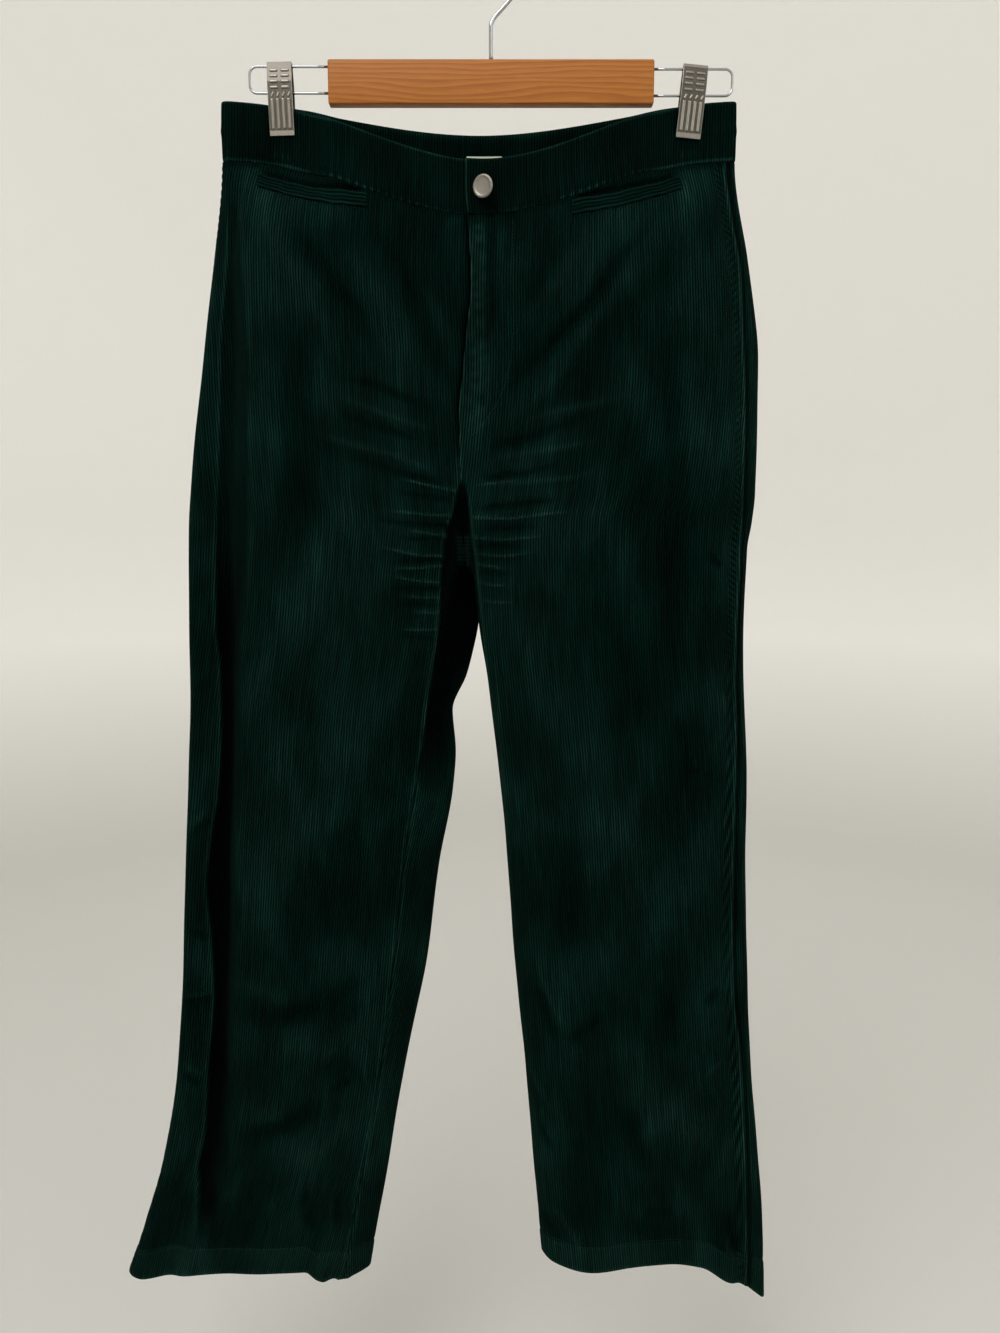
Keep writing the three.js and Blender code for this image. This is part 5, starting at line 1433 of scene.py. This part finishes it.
# %% Rows of stitches
STITCH_PITCH = 2.9
STITCH_LENGTH = 2.1
THREAD_THICK = 0.55


def stitch(bm, at, along, normal):
    side = along.cross(normal).normalized()
    turn = Matrix((along, side, normal)).transposed().to_4x4()
    size = Matrix.Diagonal((STITCH_LENGTH / 2 * MM, THREAD_THICK / 2 * MM, THREAD_THICK / 2 * MM, 1))
    place = Matrix.Translation(at) @ turn @ size @ Matrix.Rotation(math.pi / 2, 4, "Y")
    bmesh.ops.create_uvsphere(bm, u_segments=6, v_segments=4, radius=1, matrix=place)


def stitch_row(bm, tree, path, side=-1):
    """Stitches over a path of (x, z) points in millimetres."""
    line = np.array(path, float)
    runs = np.linalg.norm(np.diff(line, axis=0), axis=1)
    at = np.concatenate([[0], np.cumsum(runs)])
    made = 0
    for start in np.arange(STITCH_PITCH / 2, at[-1] - STITCH_PITCH / 2, STITCH_PITCH):
        ends = [[np.interp(start + d, at, line[:, k]) for k in (0, 1)] for d in (-1, 1)]
        hits = [touch(tree, x, z, side) for x, z in ends]
        if hits[0][0] is None or hits[1][0] is None:
            continue
        along = (hits[1][0] - hits[0][0]).normalized()
        normal = (hits[0][1] + hits[1][1]).normalized()
        normal = (normal - along * normal.dot(along)).normalized()
        middle = (hits[0][0] + hits[1][0]) / 2 + normal * 0.05 * MM
        stitch(bm, middle, along, normal)
        made += 1
    return made


def hem_path(side, above):
    low, high = (-352, -126) if side == "right" else (52, 264)
    xs = np.linspace(low, high, 60)
    return [(x, float(HEMS[side]["foot"](x)) + above) for x in xs]


FLY_STITCHES = [(18, -222), (18.5, -270), (18.6, -312), (16.5, -336), (11, -357), (3, -374), (-8, -389),
                (-19, -399)]
BELOW_WELT = 7.4
ABOVE_HEM = 26.0

for side in CELLS:
    front, back = SKINS["front", side], SKINS["back", side]
    under_welt = [(x, z - BELOW_WELT) for x, z in (welt_line(side, t) for t in np.linspace(0, 1, 30))]
    bm = bmesh.new()
    made = stitch_row(bm, front, under_welt)
    made += stitch_row(bm, front, hem_path(side, ABOVE_HEM))
    made += stitch_row(bm, back, hem_path(side, ABOVE_HEM), side=1)
    if side == "left":
        made += stitch_row(bm, front, FLY_STITCHES)
    place_piece(new_object(f"stitches_{side}", bm, THREAD), "corduroy")
    print(f"stitches_{side}", made)

# %% [markdown]
# ## Label and zip
# A bare strip of cotton tape is sewn inside the back of the band, and only its upper edge shows.
# The zip hides behind the fly: two tapes with interlocked teeth.

# %% Label
LABEL_SIZE = (30, 24)
LABEL_CORNER = (-21, -159.5)


def tape_map(columns, rows, wide, high):
    """How far across and along a tape each point of its grid lies."""
    across = np.repeat(np.linspace(0, wide, columns + 1)[None], rows + 1, axis=0)
    along = np.repeat(np.linspace(0, -high, rows + 1)[:, None], columns + 1, axis=1)
    return across, along


def label():
    box_low, box_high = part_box("label")
    tree = skin(BANDS["back"][0])
    columns, rows = 40, 16
    points = np.zeros((rows + 1, columns + 1, 3))
    for j in range(rows + 1):
        for i in range(columns + 1):
            x = LABEL_CORNER[0] + LABEL_SIZE[0] * i / columns
            z = LABEL_CORNER[1] - LABEL_SIZE[1] * j / rows
            hit = touch(tree, x, z)[0]
            points[j, i] = (x, hit.y / MM - 0.75 - 0.12 * math.sin(i / 3.1) * math.sin(j / 2.3), z)
    across, along = tape_map(columns, rows, *LABEL_SIZE)
    tape = cloth_grid("label_tape", points, across, along, 0 * across, (0, -1, 0), LABEL_TAPE)
    thicken(tape, 0.5)
    place_piece(tape, "label", "label")
    print("label:", [round(c, 4) for c in box_low], [round(c, 4) for c in box_high])
    return tape


LABEL = label()


# %% Zip
ZIP_SIZE = (22, 150)
ZIP_CORNER = (-13, -228)
ZIP_TEETH = 74


def zip_tapes():
    tree = SKINS["front", "left"]
    columns, rows = 8, 60
    points = np.zeros((rows + 1, columns + 1, 3))
    for j in range(rows + 1):
        z = ZIP_CORNER[1] - ZIP_SIZE[1] * j / rows
        for i in range(columns + 1):
            x = ZIP_CORNER[0] + ZIP_SIZE[0] * i / columns
            hit = touch(tree, min(max(x, -8), 9), z)[0]
            points[j, i] = (x, hit.y / MM + 3.2, z)
    # One level across each row, so that the tapes lie flat behind the fly
    points[..., 1] = points[..., 1].max(axis=1, keepdims=True) * 0.5 + points[..., 1] * 0.5
    across, along = tape_map(columns, rows, *ZIP_SIZE)
    tape = cloth_grid("zip_tape", points, across, along, 0 * across, (0, -1, 0), ZIP_TAPE)
    thicken(tape, 0.6)
    place_piece(tape, "zip_tape", "zip")
    bm = bmesh.new()
    for k in range(ZIP_TEETH):
        z = -230 - 2 * k
        y = np.interp(-z, -points[:, 4, 2], points[:, 4, 1])
        x = -2 + (0.5 if k % 2 else -0.5)
        made = bmesh.ops.create_cube(bm, size=1, matrix=Matrix.Translation((x * MM, (y + 1.1) * MM, z * MM))
                                     @ Matrix.Diagonal((3.6 * MM, 1.2 * MM, 1.3 * MM, 1)))
        edges = list({e for v in made["verts"] for e in v.link_edges})
        bmesh.ops.bevel(bm, geom=edges, offset=0.25 * MM, offset_type="OFFSET", segments=1, profile=0.5,
                        affect="EDGES", material=-1)
    place_piece(new_object("zip_teeth", bm, NICKEL), "zip_tape")
    print("zip teeth:", ZIP_TEETH)
    return tape


ZIP = zip_tapes()

# %% [markdown]
# ## Button
# A cast shank button: a domed disc with a rolled rim on a short stud. Its profile is spun round its
# axis, and the whole button is turned a little, as it hangs in its buttonhole.

# %% Button
BUTTON = {"radius": 9.2, "turn": -0.5, "nod": -0.1}
# The rim and the face of the button: how far in from its radius, and the height over the cloth
BUTTON_RIM = [(1.6, 2.2), (0.7, 2.4), (0.15, 2.9), (0, 3.5), (0.15, 4.1), (0.6, 4.6), (1.2, 4.8),
              (1.8, 4.75), (2.3, 4.5), (2.7, 4.2), (3.4, 4.1), (5, 4.0), (7.5, 3.85)]


def button():
    rim = [(BUTTON["radius"] - r, h) for r, h in BUTTON_RIM]
    profile = [(0, 0), (3.0, 0), (3.2, 0.3), (3.2, 2.0), (3.6, 2.3), *rim, (0, 3.8)]
    bm = bmesh.new()
    verts = [bm.verts.new((r * MM, 0, h * MM)) for r, h in profile]
    edges = [bm.edges.new(pair) for pair in zip(verts, verts[1:])]
    bmesh.ops.spin(bm, geom=verts + edges, cent=(0, 0, 0), axis=(0, 0, 1), angle=2 * math.pi, steps=64,
                   use_merge=True)
    bmesh.ops.remove_doubles(bm, verts=bm.verts, dist=1e-6)
    bmesh.ops.recalc_face_normals(bm, faces=bm.faces)
    facing = Vector((math.sin(BUTTON["turn"]), -math.cos(BUTTON["turn"]), BUTTON["nod"])).normalized()
    turn = facing.to_track_quat("Z", "Y").to_matrix().to_4x4()
    low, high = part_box("button")
    middle = (Vector(low) + Vector(high)) / 2
    bmesh.ops.transform(bm, matrix=Matrix.Translation(middle - facing * 2.4 * MM) @ turn, verts=bm.verts)
    place_piece(new_object("button_shank", bm, PEWTER), "button", "button")
    print("button:", [round(c, 4) for c in low], [round(c, 4) for c in high])


button()

# %% [markdown]
# ## Hanger
# A planed wooden bar with eased edges carries a wire hook in the middle and a wire loop at each
# end. Wires are swept: a ring of points is extruded along a path, turned at each step.

# %% Bar
def hanger_bar():
    bm = bmesh.new()
    size = Matrix.Diagonal((0.272, 0.0105, 0.035, 1))
    bmesh.ops.create_cube(bm, size=1, matrix=Matrix.Translation((0, 0, -0.1055)) @ size)
    bmesh.ops.bevel(bm, geom=list(bm.edges), offset=1.6 * MM, offset_type="OFFSET", segments=5, profile=0.5,
                    affect="EDGES", material=-1)
    broad = [f for f in bm.faces if len(f.verts) == 4 and f.calc_area() > 1e-3]
    long_edges = list({e for f in broad for e in f.edges if e.calc_length() > 0.2})
    bmesh.ops.subdivide_edges(bm, edges=long_edges, cuts=20, use_grid_fill=True)
    return new_object("bar_wood", bm, WOOD)


BAR = place_piece(hanger_bar(), "bar", "hanger_bar")
print("bar faces:", len(BAR.data.polygons))


# %% Wires
def smooth_path(points, share):
    """A smooth curve through points in the XZ plane, with share steps between each two."""
    line = np.array(points, float)[None]
    return through(line, [cell_ends(share)] * (len(points) - 1))[0]


def swept_wire(name, path, radius, sides=16):
    bm = bmesh.new()
    line = [Vector((x * MM, 0, z * MM)) for x, z in path]
    ring = bmesh.ops.create_circle(bm, segments=sides, radius=radius * MM)["verts"]
    order = sorted(ring, key=lambda v: math.atan2(v.co.y, v.co.x))
    angles = [math.atan2(v.co.y, v.co.x) for v in order]

    def seat(verts, k):
        along = (line[min(k + 1, len(line) - 1)] - line[max(k - 1, 0)]).normalized()
        across = along.cross(Vector((0, 1, 0))).normalized()
        for v, a in zip(verts, angles):
            v.co = line[k] + (across * math.cos(a) + Vector((0, 1, 0)) * math.sin(a)) * radius * MM

    seat(order, 0)
    bmesh.ops.contextual_create(bm, geom=order)
    for k in range(1, len(line)):
        edges = [bm.edges.get((order[i - 1], order[i])) for i in range(sides)]
        made = bmesh.ops.extrude_edge_only(bm, edges=edges)["geom"]
        fresh = {v for v in made if isinstance(v, bmesh.types.BMVert)}
        order = [next(e.other_vert(v) for e in v.link_edges if e.other_vert(v) in fresh) for v in order]
        seat(order, k)
    bmesh.ops.contextual_create(bm, geom=order)
    bmesh.ops.recalc_face_normals(bm, faces=bm.faces)
    return new_object(name, bm, CHROME)


HOOK_RADIUS = 24.0
HOOK_WIRE = 1.8
HOOK_LEAN = math.radians(43)
HOOK_TURN = math.radians(258)
middle = HOOK_WIRE - HOOK_RADIUS
joins = (HOOK_RADIUS * math.cos(HOOK_LEAN), middle - HOOK_RADIUS * math.sin(HOOK_LEAN))
bend = joins[1] - joins[0] / math.tan(HOOK_LEAN)
arc_points = [(HOOK_RADIUS * math.cos(a), middle + HOOK_RADIUS * math.sin(a))
              for a in (-HOOK_LEAN + HOOK_TURN * k / 26 for k in range(1, 27))]
hook_path = smooth_path([
    (0, -87.7), (0, -76), (0, bend - 6), (0, bend - 2.2),
    *((share * joins[0], bend + share * (joins[1] - bend)) for share in (0.14, 0.5)), joins, *arc_points,
], 3)
HOOK = place_piece(swept_wire("hook_wire", hook_path, HOOK_WIRE), "wire", "hanger_hook")
LOOP_TOPS = {"right": -92.2, "left": -94.2}
LOOP_WIRE = 1.1


def loop_path(sign, high):
    low, corner, start, x = high - 20.8, 6, 136.3, 203 - LOOP_WIRE - 6

    def turns(z, a0, a1):
        return [(x + corner * math.cos(a), z + corner * math.sin(a)) for a in np.linspace(a0, a1, 10)]

    points = [(start, high), ((start + x) / 2, high), *turns(high - corner, math.pi / 2, 0),
              *turns(low + corner, 0, -math.pi / 2), ((start + x) / 2, low), (start, low)]
    return smooth_path([(sign * a, b) for a, b in points], 3)


WIRES = {side: place_piece(swept_wire(f"loop_wire_{side}", loop_path(-INWARD[side], top), LOOP_WIRE, 12),
                           "wire", f"hanger_wire_{side}") for side, top in LOOP_TOPS.items()}
print("hook and loops:", len(HOOK.data.polygons), [len(w.data.polygons) for w in WIRES.values()])

# %% [markdown]
# The clips are strips of spring steel bent over the upper wire. Their fronts are pressed with two
# columns of short bars above, a slanted row between, and four long ribs below.

# %% Clips
CLIP_FOOT = -148.5
CLIP_INSIDE = [(0, -89.9), (1.6, -90.5), (2.4, -92.6), (3.4, -98), (4.9, -106), (4.9, -120), (4.3, -136),
               (4.25, -144.5), (4.2, CLIP_FOOT)]
CLIP_OUTSIDE = [(0, -88.8), (2.1, -89.4), (3.4, -92), (4.5, -98), (6, -106), (6, -120), (5.4, -136),
                (5.27, -144.5), (5.2, CLIP_FOOT)]
CLIP_LEAN = {"right": math.radians(-1.5), "left": math.radians(5.6)}
CLIP_WIDTH = 20.5


def clip_face(z):
    ys, zs = zip(*CLIP_OUTSIDE)
    return -float(np.interp(-z, [-h for h in zs], ys))


def pressed(bm, x, z, wide, high, deep, lean=0.0):
    """A raised bar pressed out of the front of a clip."""
    slope = math.atan2(clip_face(z + 2) - clip_face(z - 2), 4)
    place = Matrix.Translation((x * MM, (clip_face(z) + 0.1) * MM, z * MM))
    place = place @ Matrix.Rotation(-slope, 4, "X")
    size = Matrix.Diagonal((wide * MM, deep * MM, high * MM, 1))
    made = bmesh.ops.create_cube(bm, size=1, matrix=place @ Matrix.Rotation(lean, 4, "Y") @ size)
    edges = list({e for v in made["verts"] for e in v.link_edges})
    bmesh.ops.bevel(bm, geom=edges, offset=min(wide, high, deep) * 0.44 * MM, offset_type="OFFSET",
                    segments=3, profile=0.5, affect="EDGES", material=-1)


def clip(side):
    bm = bmesh.new()
    other = lambda rows: [(-y, z) for y, z in rows[1:]]
    outline = [*other(CLIP_OUTSIDE)[::-1], *CLIP_OUTSIDE, *CLIP_INSIDE[::-1], *other(CLIP_INSIDE)]
    verts = [bm.verts.new((-CLIP_WIDTH / 2 * MM, y * MM, z * MM)) for y, z in outline]
    face = bm.faces.new(verts)
    made = bmesh.ops.extrude_face_region(bm, geom=[face])["geom"]
    far = [v for v in made if isinstance(v, bmesh.types.BMVert)]
    bmesh.ops.translate(bm, vec=(CLIP_WIDTH * MM, 0, 0), verts=far)
    bmesh.ops.recalc_face_normals(bm, faces=bm.faces)
    rim = [e for e in bm.edges if len(e.link_faces) == 2 and e.calc_face_angle() > 1.0]
    bmesh.ops.bevel(bm, geom=rim, offset=0.3 * MM, offset_type="OFFSET", segments=2, profile=0.5,
                    affect="EDGES", material=-1)
    bmesh.ops.triangulate(bm, faces=[f for f in bm.faces if len(f.verts) > 4])
    # Painted shade: the ground between the pressed bars and ribs gets the darker nickel finish
    for face in bm.faces:
        at = face.calc_center_median() / MM
        if face.normal.y < -0.7 and -144.5 < at.z < -92 and face.calc_area() > 2e-5:
            face.material_index = 1
    for k in range(4):
        x = (k - 1.5) * 4.6
        pressed(bm, x, -131.5, 3.0, 24, 2.4)
        pressed(bm, x + 0.6, -116.4, 1.9, 4.4, 1.8, 0.5)
        for middle in (-4.7, 4.7):
            pressed(bm, middle, -97 - 4.6 * k, 7.0, 2.2, 2.0)
    pivot = Vector((CLIP_X[side] * MM, 0, (BAND_TOP + CLIP_FOOT) / 2 * MM))
    turn = Matrix.Rotation(CLIP_LEAN[side], 4, "Y")
    lift = (LOOP_TOPS[side] - LOOP_TOPS["right"] + 0.3) * MM
    place = Matrix.Translation(pivot - (turn @ Vector((0, 0, pivot.z))) + Vector((0, 0, lift))) @ turn
    bmesh.ops.transform(bm, matrix=place, verts=bm.verts)
    made = new_object(f"clip_steel_{side}", bm, NICKEL, smooth_faces=False)
    made.data.materials.append(NICKEL_PAINTED_SHADE)
    place_piece(made, "clips", f"clip_{side}")
    print(made.name, "faces", len(made.data.polygons))


for side in CLIP_X:
    clip(side)

# %% [markdown]

# %% [markdown]
# ## Studio
# A pale floor well below the hems, a pale surrounding and large soft lights above and in front.
# The camera stands where the photograph was taken from: close, at the height of the hips and looking
# a little down.

# %% Floor, light and camera
FLOOR = -1.45


def studio_cove():
    """A round floor that curves up into a wall on every side, so that no horizon shows."""
    bm = bmesh.new()
    foot, bend, rise = 3.3, 1.0, 4.6
    profile = [(0.0, 0.0), (1.2, 0.0), (foot - bend, 0.0)]
    profile += [(foot - bend + bend * math.sin(a), bend - bend * math.cos(a))
                for a in np.linspace(0.1, math.pi / 2, 12)]
    profile.append((foot, rise))
    verts = [bm.verts.new((r, 0, z + FLOOR)) for r, z in profile]
    edges = [bm.edges.new(pair) for pair in zip(verts, verts[1:])]
    bmesh.ops.spin(bm, geom=verts + edges, cent=(0, 0, 0), axis=(0, 0, 1), angle=2 * math.pi, steps=96,
                   use_merge=True)
    bmesh.ops.remove_doubles(bm, verts=bm.verts, dist=1e-6)
    bmesh.ops.recalc_face_normals(bm, faces=bm.faces)
    material, tree, shader = finish_named("cove_pale_plaster")
    # Painted shade: the cove's colour darkens from the wall down to the floor
    place = node(tree, "NewGeometry")
    split = node(tree, "SeparateXYZ", {0: place.outputs["Position"]})
    high = node(tree, "MapRange", {"Value": split.outputs[2], "From Min": FLOOR, "From Max": -0.9})
    shade = node(tree, "Mix", {0: high.outputs[0], 6: linear("#c6c5c1"), 7: linear("#f2f1ee")},
                 data_type="RGBA")
    tree.links.new(shade.outputs[2], shader.inputs["Base Color"])
    set_shader(shader, Roughness=0.9, Specular_IOR_Level=0.1)
    cove = new_object("studio_cove", bm, material)


def soft_light(name, place, aim, size, watts):
    data = bpy.data.lights.new(name, "AREA")
    data.shape = "RECTANGLE"
    data.size, data.size_y = size
    data.energy = watts
    lamp = bpy.data.objects.new(name, data)
    lamp.location = place
    lamp.rotation_euler = (Vector(aim) - Vector(place)).to_track_quat("-Z", "Y").to_euler()
    lamp.visible_camera = False
    bpy.context.scene.collection.objects.link(lamp)


studio_cove()
soft_light("softbox_key", (-0.7, -1.5, 1.5), (0, 0, -0.6), (1.5, 1.2), 32)
soft_light("softbox_fill", (1.5, -1.6, 0.6), (0, 0, -0.7), (1.5, 1.5), 9)
soft_light("softbox_back", (0.6, 2.0, 1.3), (0, 0, -0.4), (1.6, 1.2), 12)
world = bpy.data.worlds.new("pale_surround")
world.use_nodes = True
world.node_tree.nodes["Background"].inputs["Color"].default_value = linear("#f0ede6")
world.node_tree.nodes["Background"].inputs["Strength"].default_value = 1.05
bpy.context.scene.world = world
# The photograph's dark greens keep their depth under the plain sRGB view
bpy.context.scene.view_settings.view_transform = "Standard"

camera_data = bpy.data.cameras.new("camera")
camera_data.lens = 27
camera_data.sensor_width = 36
camera_data.clip_start = 0.01
camera = bpy.data.objects.new("camera", camera_data)
camera.location = (0.0075, -0.897, -0.4722)
camera.rotation_euler = (math.radians(82), 0, 0)
bpy.context.scene.collection.objects.link(camera)
bpy.context.scene.camera = camera
print("camera at", tuple(round(c, 4) for c in camera.location))
